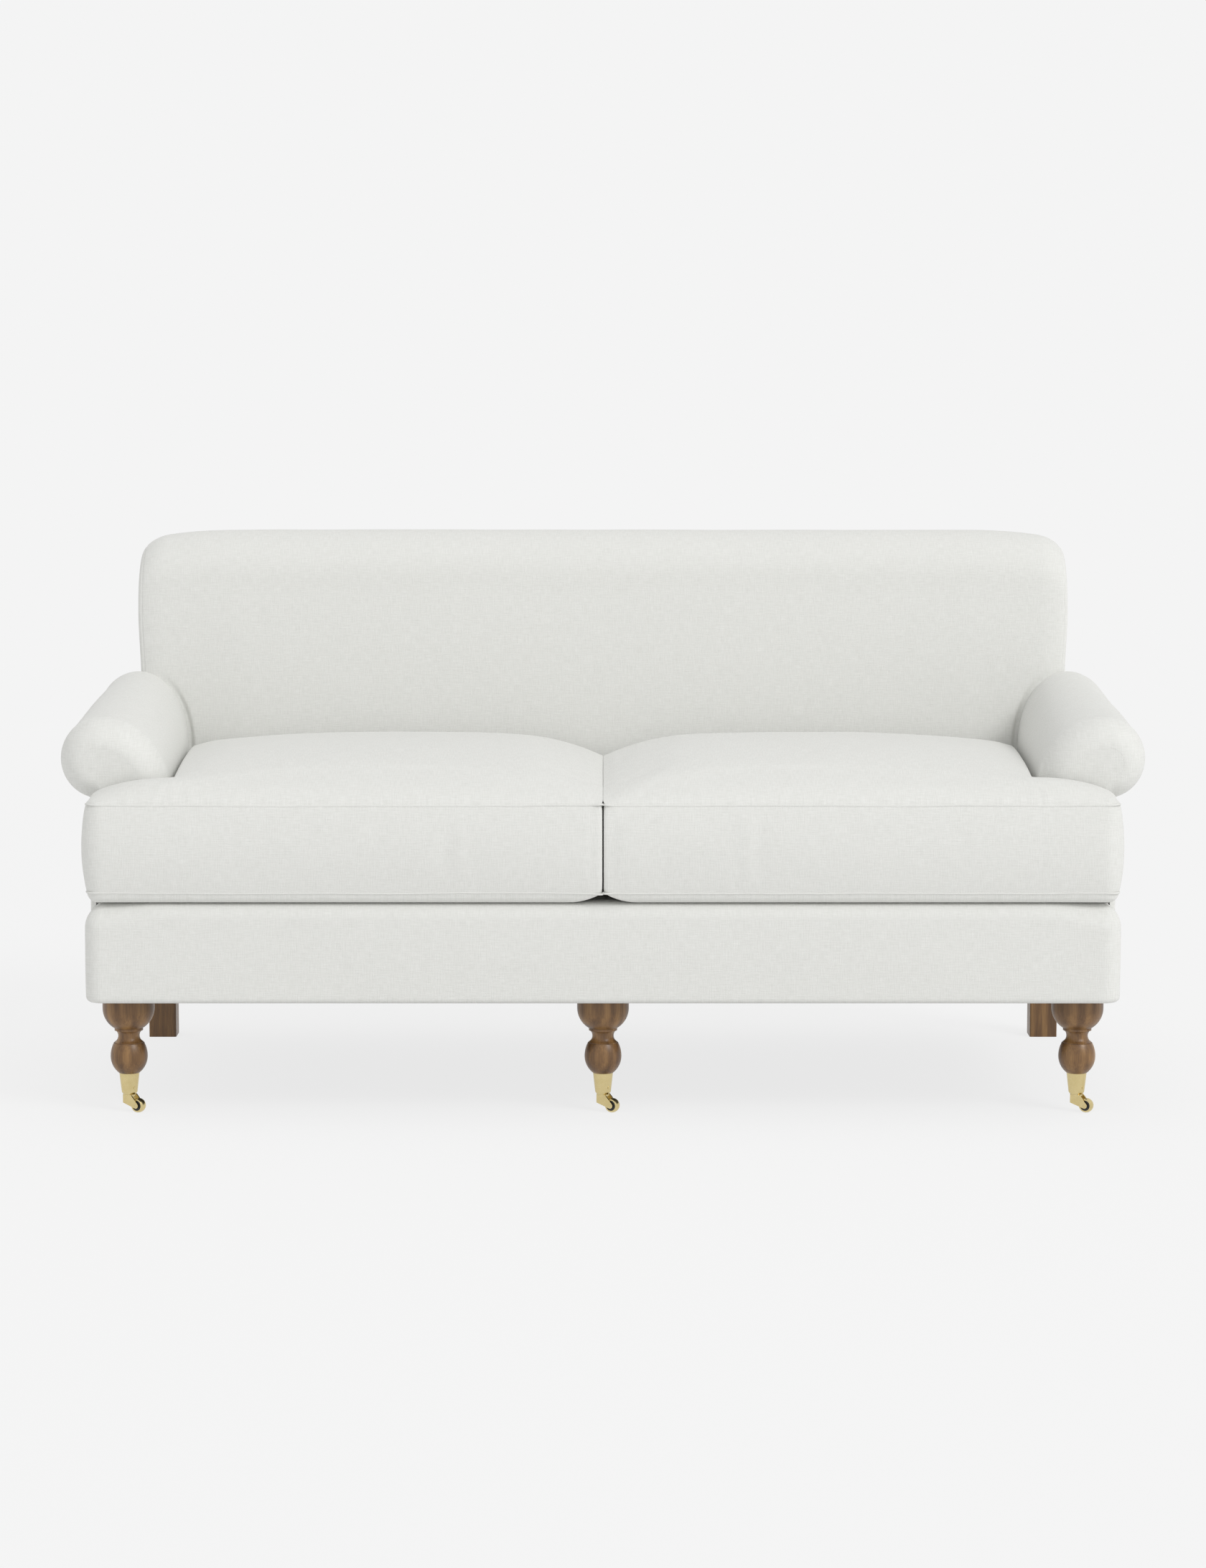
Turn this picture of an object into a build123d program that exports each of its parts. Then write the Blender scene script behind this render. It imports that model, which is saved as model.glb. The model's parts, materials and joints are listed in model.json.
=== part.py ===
"""Two-seat roll-arm sofa with loose T-shaped seat cushions, turned front legs and brass cup casters.

Millimetres, +Z up, the front at -Y. The origin is on the floor, under the middle of the sofa's box.
Left and right are as seen from the front.
"""

import os
from math import cos, pi, radians, sin

from build123d import *

# Base and wooden frame
base_width = 1704.0
base_depth = 872.0
base_height = 165.5
front_pad = 24.0
side_pad = 21.0
back_panel = 10.0
border_corner_radius = 30.0
border_top_radius = 26.0
border_bottom_radius = 9.0
rail_thickness = 30.0
rail_height = 130.5
dust_cover = 1.5
deck_thickness = 22.0
block_height = 45.0
corner_block_leg = 110.0
centre_block_width = 120.0
centre_block_depth = 60.0
centre_rail_height = 90.0
dowel_radius = 5.0
dowel_length = 60.0
dowel_inset = 34.0

# Arms
arm_setback = 90.0
arm_tail = 137.0
arm_dome = 62.0
arm_dome_inset = 42.0
dome_angles = (0, 18, 36, 54, 72, 90)
arm_wall = 102.0
arm_flare = 30.5
inside_pad = 33.0
inside_shoulder = 62.0
roll_radius = 68.0
roll_overhang = 52.5
roll_height = 223.0
roll_rise = 44.0
post_depth = 50.0
post_width = 36.0
arm_rail_height = 50.0

# Back
back_side_inset = 12.0
back_height = 582.0
back_depth = 232.0
back_rake = 62.0
back_lean = 33.0
back_knee = 62.0
back_crown = 12.0
back_front_pad = 72.0
back_roll_drop = 92.0
back_panel_drop = 132.0
back_corner_width = 50.0
back_corner_height = 29.0
back_corner_draw = 15.0
back_corner_power = 2.0
back_slope_width = 180.0
back_slope_drop = 16.5
back_slope_power = 2.2
back_edge_crown = 0.1
back_stations = (0.0, 0.25, 0.45, 0.6, 0.72, 0.79, 0.85, 0.9, 0.94, 0.97, 0.99, 1.0)
back_post_depth = 45.0
top_rail_height = 85.0
lower_rail_height = 60.0
upright_width = 40.0
webbing_width = 50.0
webbing_thickness = 2.0
webbing_count = 8

# Seat springs
wire_radius = 1.9
spring_count = 6
spring_runs = 20
run_length = 40.0
clip_length = 22.0
clip_depth = 14.0
clip_lip = 1.6

# Seat cushions
cushion_gap = 1.5
cushion_side_gap = 1.5
cushion_rear_gap = 4.0
ear_gap = 2.0
cushion_lift = 0.5
lower_seam = 18.0
boxing_height = 144.0
crown_height = 82.0
crown_fullness = 0.3
crown_fall = 0.3
crown_shoulder = 110.0
crown_stations = (0.0, 0.006, 0.02, 0.06, 0.15, 0.3, 0.5, 0.7, 0.85, 0.94, 0.98, 0.994, 1.0)
shoulder_rise = 0.74
shoulder_bow_rise = 0.46
shoulder_bow_reach = 0.42
least_crown = 2.0
front_bulge = 10.0
underside_turn = 34.0
ear_seam_inset = 4.0
ear_bulge = 7.0
ear_crown = 40.0
ear_nose = 42.0
ear_nose_inset = 10.0
ear_bow_rise = 0.72
ear_fullness = 0.5
ear_tuck = 0.4
ear_stations = (-0.5, 0.0, 0.35, 0.6, 0.8, 0.93, 1.0)
foam_inset = 24.0
foam_lower_inset = 22.0
foam_height = 118.0

# Legs
leg_height = 126.8
leg_top_radius = 43.0
leg_collar = 17.5
leg_bowl_radius = 23.6
leg_bowl_height = 51.5
leg_band = 3.6
leg_neck_radius = 17.8
leg_neck_height = 63.5
leg_ring_radius = 25.2
leg_ring_height = 50.5
leg_groove = 1.4
leg_ball_radius = 30.7
leg_ball_height = 28.3
leg_foot_radius = 17.0
spigot_length = 29.5
front_leg_side_offset = 13.0
front_leg_front_offset = 20.0
rear_leg_size = 50.0
rear_leg_inset = 17.0
rear_leg_round = 3.0
bolt_radius = 4.0
bolt_depth = 40.0
insert_radius = 6.0
insert_length = 25.0

# Casters
wheel_diameter = 24.0
wheel_width = 12.0
wheel_crown = 1.3
hub_radius = 8.6
hub_recess = 0.6
fork_over_wheel = 5.5
fork_plate = 4.0
fork_arm = 2.2
fork_side_gap = 0.6
fork_heel = 7.5
fork_toe = 8.5
fork_heel_height = 15.5
fork_boss = 4.7
swivel_disc_radius = 10.2
swivel_disc_height = 2.4
swivel_gap = 0.2
caster_trail = 18.0
caster_angle = -30.0
axle_radius = 2.0
stem_radius = 3.0
stem_head_radius = 6.0
stem_head_height = 2.0
cup_height = 36.0
cup_top_radius = 16.7
cup_bottom_radius = 13.1
cup_wall = 1.5
cup_floor = 3.0
cup_shoulder = 3.8
cup_shoulder_inset = 2.4
cup_screw_height = 11.5
cup_screw_angles = (-46.0, 134.0)
screw_radius = 1.4
screw_head_radius = 2.4
screw_head_height = 1.3
screw_length = 9.0

# Clearances
running_fit = 0.05
snug_fit = 0.05
soft_gap = 0.5

# Levels and planes that several pieces share
half_width = base_width / 2
front = front_bulge - (front_bulge + base_depth + back_lean) / 2
rear = front + base_depth
wheel_radius = wheel_diameter / 2
fork_height = wheel_diameter + fork_over_wheel
cup_bottom = fork_height + swivel_gap
cup_top = cup_bottom + cup_height
base_bottom = cup_top + leg_height
base_top = base_bottom + base_height
rail_bottom = base_bottom + dust_cover
rail_top = rail_bottom + rail_height
deck_bottom = base_top - deck_thickness
spring_top = deck_bottom - soft_gap
spring_z = spring_top - clip_lip - wire_radius

side_rail_outer = half_width - side_pad
side_rail_inner = side_rail_outer - rail_thickness
front_rail_front = front + front_pad
front_rail_rear = front_rail_front + rail_thickness
frame_rear = rear - back_panel
back_rail_front = frame_rear - rail_thickness
centre_block_rear = front_rail_rear + centre_block_depth

front_leg_x = side_rail_inner - front_leg_side_offset
front_leg_y = front_rail_rear + front_leg_front_offset
rear_leg_x = side_rail_outer - rail_thickness / 2
rear_leg_y = rear - rear_leg_inset - rear_leg_size / 2
front_leg_axes = {
    "left": (-front_leg_x, front_leg_y),
    "centre": (0.0, front_leg_y),
    "right": (front_leg_x, front_leg_y),
}
rear_leg_axes = {"left": (-rear_leg_x, rear_leg_y), "right": (rear_leg_x, rear_leg_y)}
leg_axes = [*front_leg_axes.values(), *rear_leg_axes.values()]

arm_front = front + arm_setback
arm_rear = rear - arm_tail
roll_x = half_width + roll_overhang - roll_radius
arm_slope = roll_rise / (arm_rear - arm_front)
post_front = arm_front + arm_dome
post_inner = side_rail_outer - post_width

back_top = base_top + back_height
back_front = rear - back_depth
back_half_width = half_width - back_side_inset
back_post_front = frame_rear - back_post_depth
knee_height = base_top + back_knee
roll_start = back_top - back_roll_drop
frame_top = back_top - back_panel_drop
lean_slope = back_lean / (roll_start - knee_height)

cushion_bottom = base_top + cushion_lift
seam_low = base_top + lower_seam
seam_high = seam_low + boxing_height
cushion_inner = cushion_gap / 2
cushion_rear = back_front - cushion_rear_gap
ear_rear = arm_front - ear_gap
ear_seam = half_width - ear_seam_inset

fork_inner = wheel_width / 2 + fork_side_gap
fork_outer = fork_inner + fork_arm


def block(x0, x1, y0, y1, z0, z1):
    """A box between two corners."""
    return Pos((x0 + x1) / 2, (y0 + y1) / 2, (z0 + z1) / 2) * Box(x1 - x0, y1 - y0, z1 - z0)


def rod(radius, z0, z1, x=0.0, y=0.0):
    """An upright cylinder between two heights."""
    return Pos(x, y, (z0 + z1) / 2) * Cylinder(radius, z1 - z0)


def cross_rod(radius, x0, x1, y, z):
    """A cylinder along X."""
    return Pos((x0 + x1) / 2, y, z) * Rot(0, 90, 0) * Cylinder(radius, x1 - x0)


def side_plate(points, x0, x1):
    """A plate between two X planes, whose side outline is a list of (y, z) points."""
    outline = Face(Wire(Polyline(*[(x0, y, z) for y, z in points], close=True).edges()))
    return extrude(outline, amount=x1 - x0, dir=(1, 0, 0))


def upright_prism(points, z0, z1):
    """A prism between two heights, whose plan is a list of (x, y) points."""
    outline = Face(Wire(Polyline(*[(x, y, z0) for x, y in points], close=True).edges()))
    return extrude(outline, amount=z1 - z0, dir=(0, 0, 1))


def group(shapes):
    """Separate solids in one node."""
    return Compound([solid for shape in shapes for solid in shape.solids()])


def mirrored(shape):
    """The left-hand twin of a right-hand piece."""
    return mirror(shape, about=Plane.YZ)


def both_sides(shapes):
    """Right-hand pieces with their left-hand twins."""
    return [*shapes, *[mirrored(shape) for shape in shapes]]


def save(name, shape):
    """Writes one node."""
    export_step(shape, os.path.join("parts", name + ".step"))


def save_pair(name, right_shape):
    """Writes a right-hand node and its left-hand twin."""
    save(name + "_right", right_shape)
    save(name + "_left", mirrored(right_shape))


def lean(z):
    """How far the back's rear plane stands behind the base at a height."""
    return max(0.0, z - knee_height) * lean_slope


def back_face(z):
    """The back's front plane at a height."""
    return back_front + back_rake * (z - base_top) / (roll_start - base_top)


def roll_axis(y):
    """Height of the arm roll's axis, which climbs towards the back."""
    return base_top + roll_height + arm_slope * (y - arm_front)


def arm_inside(y):
    """The arm's inside wall, which is padded out towards the front."""
    return half_width - arm_wall - arm_flare * (arm_rear - y) / (arm_rear - arm_front)


def cushion_side(y):
    """The side of a cushion, which follows the arm's inside wall."""
    return arm_inside(y) - cushion_side_gap


# Seat frame


def dowels(radius, gap=0.0):
    """Two dowels in each corner of the seat frame, on the right-hand side."""
    rows = ((front_rail_front + front_rail_rear) / 2, (back_rail_front + frame_rear) / 2)
    heights = (rail_bottom + dowel_inset, rail_top - dowel_inset)
    inner = side_rail_outer - dowel_length - gap
    return [cross_rod(radius, inner, side_rail_outer, y, z) for y in rows for z in heights]


def insert_bores(axes):
    """Blind bores for the leg inserts."""
    top = rail_bottom + insert_length
    return [rod(insert_radius + snug_fit, rail_bottom, top + snug_fit, x, y) for x, y in axes]


def drilled(shape, cutters):
    """A piece with each cutter taken out of it."""
    for cutter in cutters:
        shape = shape - cutter
    return shape


def seat_frame():
    dowel_holes = both_sides(dowels(dowel_radius + snug_fit, soft_gap))
    bores = insert_bores(leg_axes)
    across = (-side_rail_inner, side_rail_inner)
    upright = (rail_bottom, rail_top)
    front_rail = block(*across, front_rail_front, front_rail_rear, *upright)
    back_rail = block(*across, back_rail_front, frame_rear, *upright)
    side_rail = block(side_rail_inner, side_rail_outer, front_rail_front, frame_rear, *upright)
    save("seat_front_rail", drilled(front_rail, dowel_holes))
    save("seat_back_rail", drilled(back_rail, dowel_holes))
    save_pair("seat_side_rail", drilled(side_rail, dowel_holes + bores))
    save("frame_dowels", group(both_sides(dowels(dowel_radius))))

    half_rail = rail_thickness / 2
    centre_top = rail_bottom + centre_rail_height
    centre_rail = block(-half_rail, half_rail, centre_block_rear, back_rail_front, rail_bottom, centre_top)
    save("seat_centre_rail", centre_rail)

    block_top = rail_bottom + block_height
    half_block = centre_block_width / 2
    centre_block = block(-half_block, half_block, front_rail_rear, centre_block_rear, rail_bottom, block_top)
    save("centre_leg_block", drilled(centre_block, bores))

    corners = []
    for corner_y, inward in ((front_rail_rear, 1), (back_rail_front, -1)):
        plan = [
            (side_rail_inner, corner_y),
            (side_rail_inner - corner_block_leg, corner_y),
            (side_rail_inner, corner_y + inward * corner_block_leg),
        ]
        corners.append(drilled(upright_prism(plan, rail_bottom, block_top), bores))
    save("corner_blocks", group(both_sides(corners)))


# Springs, deck and dust cover


def sinuous_spring(x):
    """A flat zigzag wire from the front rail's clip to the back rail's clip."""
    start = (front_rail_front + front_rail_rear) / 2
    end = (back_rail_front + frame_rear) / 2
    pitch = (end - start) / (spring_runs - 1)
    z = spring_z
    reach = run_length / 2
    side = 1
    edges = []
    for run in range(spring_runs):
        y = start + run * pitch
        edges.append(Line((x - side * reach, y, z), (x + side * reach, y, z)))
        if run < spring_runs - 1:
            bow = (x + side * (reach + pitch / 2), y + pitch / 2, z)
            edges.append(ThreePointArc((x + side * reach, y, z), bow, (x + side * reach, y + pitch, z)))
        side = -side
    path = Wire(edges)
    section = Plane(origin=path @ 0, z_dir=path % 0) * Circle(wire_radius)
    return sweep(section, path=path)


def spring_places():
    """X places of the springs in the right-hand half of the seat."""
    step = (side_rail_inner - rail_thickness / 2) / spring_count
    return [rail_thickness / 2 + step * (index + 0.5) for index in range(spring_count)]


def seat_suspension():
    springs = group([sinuous_spring(x) for x in spring_places()])
    save("seat_springs_right", springs)
    save("seat_springs_left", mirrored(springs))

    rows = ((front_rail_front + front_rail_rear) / 2, (back_rail_front + frame_rear) / 2)
    half_clip = clip_length / 2
    half_depth = clip_depth / 2
    clips = []
    for x in spring_places():
        for y in rows:
            body = block(x - half_clip, x + half_clip, y - half_depth, y + half_depth, rail_top, spring_top)
            hole = cross_rod(wire_radius + snug_fit, x - half_clip, x + half_clip, y, spring_z)
            clips.append(body - hole)
    save("spring_clips", group(both_sides(clips)))

    save("seat_deck", block(-post_inner, post_inner, arm_front, frame_rear, deck_bottom, base_top))

    cover = block(-side_rail_outer, side_rail_outer, front_rail_front, frame_rear, base_bottom, rail_bottom)
    holes = [rod(insert_radius, base_bottom, rail_bottom, x, y) for x, y in leg_axes]
    save("dust_cover", drilled(cover, holes))


# Base border


def front_border():
    """Padded cover of the front rail, wrapped round the front corners and over the rail's top."""
    shell = block(-half_width, half_width, front, arm_front, base_bottom, base_top)
    front_edges = shell.edges().filter_by(Axis.Z).group_by(Axis.Y)[0]
    shell = fillet(front_edges, border_corner_radius)
    top_loop = shell.faces().sort_by(Axis.Z)[-1].edges() - shell.faces().sort_by(Axis.Y)[-1].edges()
    shell = fillet(top_loop, border_top_radius)
    bottom_loop = shell.faces().sort_by(Axis.Z)[0].edges() - shell.faces().sort_by(Axis.Y)[-1].edges()
    shell = fillet(bottom_loop, border_bottom_radius)
    space = block(-side_rail_outer, side_rail_outer, front_rail_front, arm_front, base_bottom, deck_bottom)
    save("front_border", shell - space)


# Arms


def arm_section(y, inset, grow=0.0):
    """Outline of an arm across its length: padded inside wall, shoulder and roll."""
    radius = roll_radius - inset + grow
    inner = arm_inside(y) + inset - grow
    axis_z = roll_axis(y)
    shoulder_z = axis_z - inside_shoulder
    top_z = axis_z + radius
    low_z = axis_z - radius
    diagonal = cos(pi / 4)
    shoulder_bow = (roll_x - (roll_x - inner) * diagonal, y, shoulder_z + (top_z - shoulder_z) * diagonal)
    return Face(
        Wire(
            [
                Line((inner, y, base_top), (inner, y, shoulder_z)),
                ThreePointArc((inner, y, shoulder_z), shoulder_bow, (roll_x, y, top_z)),
                ThreePointArc(
                    (roll_x, y, top_z),
                    (roll_x + radius * diagonal, y, axis_z + radius * diagonal),
                    (roll_x + radius, y, axis_z),
                ),
                ThreePointArc(
                    (roll_x + radius, y, axis_z),
                    (roll_x + radius * diagonal, y, axis_z - radius * diagonal),
                    (roll_x, y, low_z),
                ),
                Line((roll_x, y, low_z), (side_rail_outer, y, low_z)),
                Line((side_rail_outer, y, low_z), (side_rail_outer, y, base_top)),
                Line((side_rail_outer, y, base_top), (inner, y, base_top)),
            ]
        )
    )


def arm_body(grow=0.0):
    """The arm's outer form, domed at the front and at its rear end."""
    turns = [radians(angle) for angle in dome_angles]
    sections = []
    for turn in turns:
        y = arm_front - grow + arm_dome * (1 - cos(turn))
        sections.append(arm_section(y, arm_dome_inset * (1 - sin(turn)), grow))
    for turn in reversed(turns):
        y = arm_rear + grow - arm_dome * (1 - cos(turn))
        sections.append(arm_section(y, arm_dome_inset * (1 - sin(turn)), grow))
    return loft(sections, ruled=True)


def lean_meet(plane, offset):
    """Where a line parallel to the roll's axis, offset in height, meets a plane that leans with the back."""
    start_z = roll_axis(arm_front) + offset
    reach = plane + lean_slope * (start_z - knee_height - arm_slope * arm_front)
    y = reach / (1 - lean_slope * arm_slope)
    return y, roll_axis(y) + offset


def arms():
    half_rail = arm_rail_height / 2
    post_rear = post_front + post_depth
    past_rear = arm_rear + soft_gap

    pad = arm_body()
    under_roll = [
        (post_front, base_top),
        (post_front, roll_axis(post_front) - roll_radius),
        (past_rear, roll_axis(past_rear) - roll_radius),
        (past_rear, base_top),
    ]
    rail_slot = [
        (post_front, base_top),
        (post_front, roll_axis(post_front) + half_rail),
        (past_rear, roll_axis(past_rear) + half_rail),
        (past_rear, base_top),
    ]
    pad = pad - side_plate(under_roll, arm_inside(arm_rear) + inside_pad, side_rail_outer)
    pad = pad - side_plate(rail_slot, post_inner, side_rail_outer)
    save_pair("arm_pad", pad)

    post = [
        (post_front, rail_top),
        (post_rear, rail_top),
        (post_rear, roll_axis(post_rear) - half_rail),
        (post_front, roll_axis(post_front) - half_rail),
    ]
    save_pair("arm_post", side_plate(post, post_inner, side_rail_outer))

    save_pair("arm_rail", arm_rail())
    save_pair("outside_arm", outside_arm(soft_gap))


def arm_rail():
    """The board inside the roll, from the arm post's top to the back post."""
    half_rail = arm_rail_height / 2
    outline = [
        (post_front, roll_axis(post_front) - half_rail),
        lean_meet(back_post_front, -half_rail),
        lean_meet(back_post_front, half_rail),
        (post_front, roll_axis(post_front) + half_rail),
    ]
    return side_plate(outline, post_inner, side_rail_outer)


def outside_arm(gap):
    """The panel under the roll, from the base's border to the rear."""
    below = -roll_radius - gap
    outline = [
        (arm_front, base_bottom),
        (rear, base_bottom),
        (rear, knee_height),
        lean_meet(rear, below),
        (arm_front, roll_axis(arm_front) + below),
    ]
    return side_plate(outline, side_rail_outer, half_width)


# Back


def back_section(x):
    """Side outline of the back at one place across its width."""
    slope = max(0.0, abs(x) - (back_half_width - back_slope_width)) / back_slope_width
    over = max(0.0, abs(x) - (back_half_width - back_corner_width)) / back_corner_width
    drawn = 1 - (1 - over**back_corner_power) ** (1 / back_corner_power)
    drop = back_slope_drop * slope**back_slope_power + back_corner_height * drawn
    draw = back_corner_draw * drawn
    crown = back_crown * (1 - (1 - back_edge_crown) * slope)
    shoulder_z = roll_start - drop
    face_low = (x, back_front + draw, base_top)
    face_high = (x, back_face(shoulder_z) + draw, shoulder_z)
    bow = (x, (face_low[1] + face_high[1]) / 2 - crown, (base_top + shoulder_z) / 2)
    rear_high = (x, rear + lean(shoulder_z), shoulder_z)
    crest = (x, (face_high[1] + rear_high[1]) / 2, back_top - drop)
    knee = (x, rear, knee_height)
    foot = (x, rear, base_top)
    return Face(
        Wire(
            [
                ThreePointArc(face_low, bow, face_high),
                ThreePointArc(face_high, crest, rear_high),
                Line(rear_high, knee),
                Line(knee, foot),
                Line(foot, face_low),
            ]
        )
    )


def leaning_rail(z0, z1, x0, x1, depth=rail_thickness, ahead=0.0):
    """A board along the back's rear plane, with its rear face ahead of the frame's rear plane."""
    rear_plane = frame_rear - ahead
    outline = [
        (rear_plane - depth + lean(z0), z0),
        (rear_plane + lean(z0), z0),
        (rear_plane + lean(z1), z1),
        (rear_plane - depth + lean(z1), z1),
    ]
    return side_plate(outline, x0, x1)


def back():
    flat = back_half_width - back_slope_width
    right = [flat + back_slope_width * share for share in back_stations]
    places = [-x for x in reversed(right)] + [0.0] + right
    pad = loft([back_section(x) for x in places], ruled=True)
    space = [
        (back_front + back_front_pad, base_top),
        (back_face(frame_top) + back_front_pad, frame_top),
        (rear + back_panel + lean(frame_top), frame_top),
        (rear + back_panel, knee_height),
        (rear + back_panel, base_top),
    ]
    pad = pad - side_plate(space, -side_rail_outer, side_rail_outer)
    save("back_pad", drilled(pad, both_sides([arm_body(soft_gap), outside_arm(0.0), arm_rail()])))

    panel = [
        (frame_rear, base_bottom),
        (rear, base_bottom),
        (rear, knee_height),
        (rear + lean(frame_top), frame_top),
        (frame_rear + lean(frame_top), frame_top),
        (frame_rear, knee_height),
    ]
    save("outside_back", side_plate(panel, -side_rail_outer, side_rail_outer))

    post = [
        (back_post_front, rail_top),
        (frame_rear, rail_top),
        (frame_rear, knee_height),
        (frame_rear + lean(frame_top), frame_top),
        (back_post_front + lean(frame_top), frame_top),
        (back_post_front, knee_height),
    ]
    save_pair("back_post", side_plate(post, post_inner, side_rail_outer))

    lower_top = knee_height + lower_rail_height
    upper_low = frame_top - top_rail_height
    save("back_top_rail", leaning_rail(upper_low, frame_top, -post_inner, post_inner))
    save("back_lower_rail", leaning_rail(knee_height, lower_top, -post_inner, post_inner))
    save("back_centre_upright", leaning_rail(lower_top, upper_low, -upright_width / 2, upright_width / 2))

    step = 2 * post_inner / webbing_count
    straps = []
    for index in range(webbing_count):
        left = -post_inner + step * (index + 0.5) - webbing_width / 2
        right = left + webbing_width
        straps.append(leaning_rail(knee_height, frame_top, left, right, webbing_thickness, rail_thickness))
    save("back_webbing", group(straps))


# Seat cushions


def cushion_section(share, crown, sink):
    """Side outline of a cushion: bulged front, crowned top and an underside that turns in below its seam.

    It stands at a share of the width between the gap and the cushion's side.
    """

    def at(y, z):
        return (cushion_inner + share * (cushion_side(y) - cushion_inner), y, z)

    floor = seam_low - sink
    shoulder_front = front + crown_shoulder
    shoulder_rear = cushion_rear - crown_shoulder
    shoulder_z = seam_high + shoulder_rise * crown
    bow_reach = shoulder_bow_reach * crown_shoulder
    bow_z = seam_high + shoulder_bow_rise * crown
    turn_front = front + underside_turn
    turn_rear = cushion_rear - underside_turn
    nose = at(front - front_bulge, (seam_low + seam_high) / 2)
    crest = at((front + cushion_rear) / 2, seam_high + crown)
    front_low = at(front, seam_low)
    front_high = at(front, seam_high)
    rear_low = at(cushion_rear, seam_low)
    rear_high = at(cushion_rear, seam_high)
    rise_front = at(shoulder_front, shoulder_z)
    rise_rear = at(shoulder_rear, shoulder_z)
    edges = [
        ThreePointArc(front_low, nose, front_high),
        ThreePointArc(front_high, at(front + bow_reach, bow_z), rise_front),
        ThreePointArc(rise_front, crest, rise_rear),
        ThreePointArc(rise_rear, at(cushion_rear - bow_reach, bow_z), rear_high),
        Line(rear_high, rear_low),
        Line(rear_low, at(turn_rear, floor)),
        Line(at(turn_rear, floor), at(turn_front, floor)),
        Line(at(turn_front, floor), front_low),
    ]
    return Face(Wire(edges))


def ear_section(x, crown, sink, nose=0.0, inset=0.0):
    """Side outline of a cushion's ear, which reaches in front of the arm."""
    y0 = front + inset
    y1 = ear_rear - inset
    low = seam_low + nose
    high = seam_high - nose
    floor = low - sink
    top_bow = (x, (y0 + y1) / 2, high + ear_bow_rise * crown)
    edges = [
        ThreePointArc((x, y0, low), (x, y0 - front_bulge, (low + high) / 2), (x, y0, high)),
        ThreePointArc((x, y0, high), top_bow, (x, y1, high + crown)),
        Line((x, y1, high + crown), (x, y1, floor)),
        Line((x, y1, floor), (x, y0 + underside_turn, floor)),
        Line((x, y0 + underside_turn, floor), (x, y0, low)),
    ]
    return Face(Wire(edges))


def seat_cushions():
    width = cushion_side(ear_rear) - cushion_inner
    full_sink = seam_low - cushion_bottom
    sections = []
    for share in crown_stations:
        swell = crown_fullness if share < 0.5 else crown_fall
        fullness = sin(pi * share) ** swell if 0 < share < 1 else 0.0
        sink = full_sink * min(1.0, share * width / underside_turn, (1 - share) * width / underside_turn)
        crown = max(least_crown, crown_height * fullness)
        sections.append(cushion_section(share, crown, sink))
    body = loft(sections, ruled=True)

    ear_start = cushion_side(ear_rear)
    reach = ear_seam - ear_start
    ears = []
    for share in ear_stations:
        fullness = cos(pi / 2 * max(0.0, share)) ** ear_fullness if share < 1 else 0.0
        sink = full_sink * min(1.0, (1 - share) * reach / underside_turn)
        crown = max(least_crown, ear_crown * fullness)
        tuck = ear_tuck if share <= 0 else 0.0
        ears.append(ear_section(ear_start + share * reach, crown, sink, tuck, tuck))
    ears.append(ear_section(ear_seam + ear_bulge, least_crown, 0.0, ear_nose, ear_nose_inset))
    cushion = body + loft(ears, ruled=True)

    plan = [
        (cushion_inner + foam_inset, front + foam_inset),
        (ear_seam - foam_inset, front + foam_inset),
        (ear_seam - foam_inset, ear_rear - foam_inset),
        (ear_start - foam_inset, ear_rear - foam_inset),
        (cushion_side(cushion_rear) - foam_inset, cushion_rear - foam_inset),
        (cushion_inner + foam_inset, cushion_rear - foam_inset),
    ]
    foam_bottom = cushion_bottom + foam_lower_inset
    foam = upright_prism(plan, foam_bottom, foam_bottom + foam_height)
    save_pair("seat_cushion", cushion - foam)
    save_pair("seat_foam", foam)


# Legs


def cup_radius(z):
    """The cup's outer radius at a height."""
    wall_foot = cup_bottom + cup_shoulder
    share = (z - wall_foot) / (cup_top - wall_foot)
    return cup_bottom_radius + (cup_top_radius - cup_bottom_radius) * share


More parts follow.
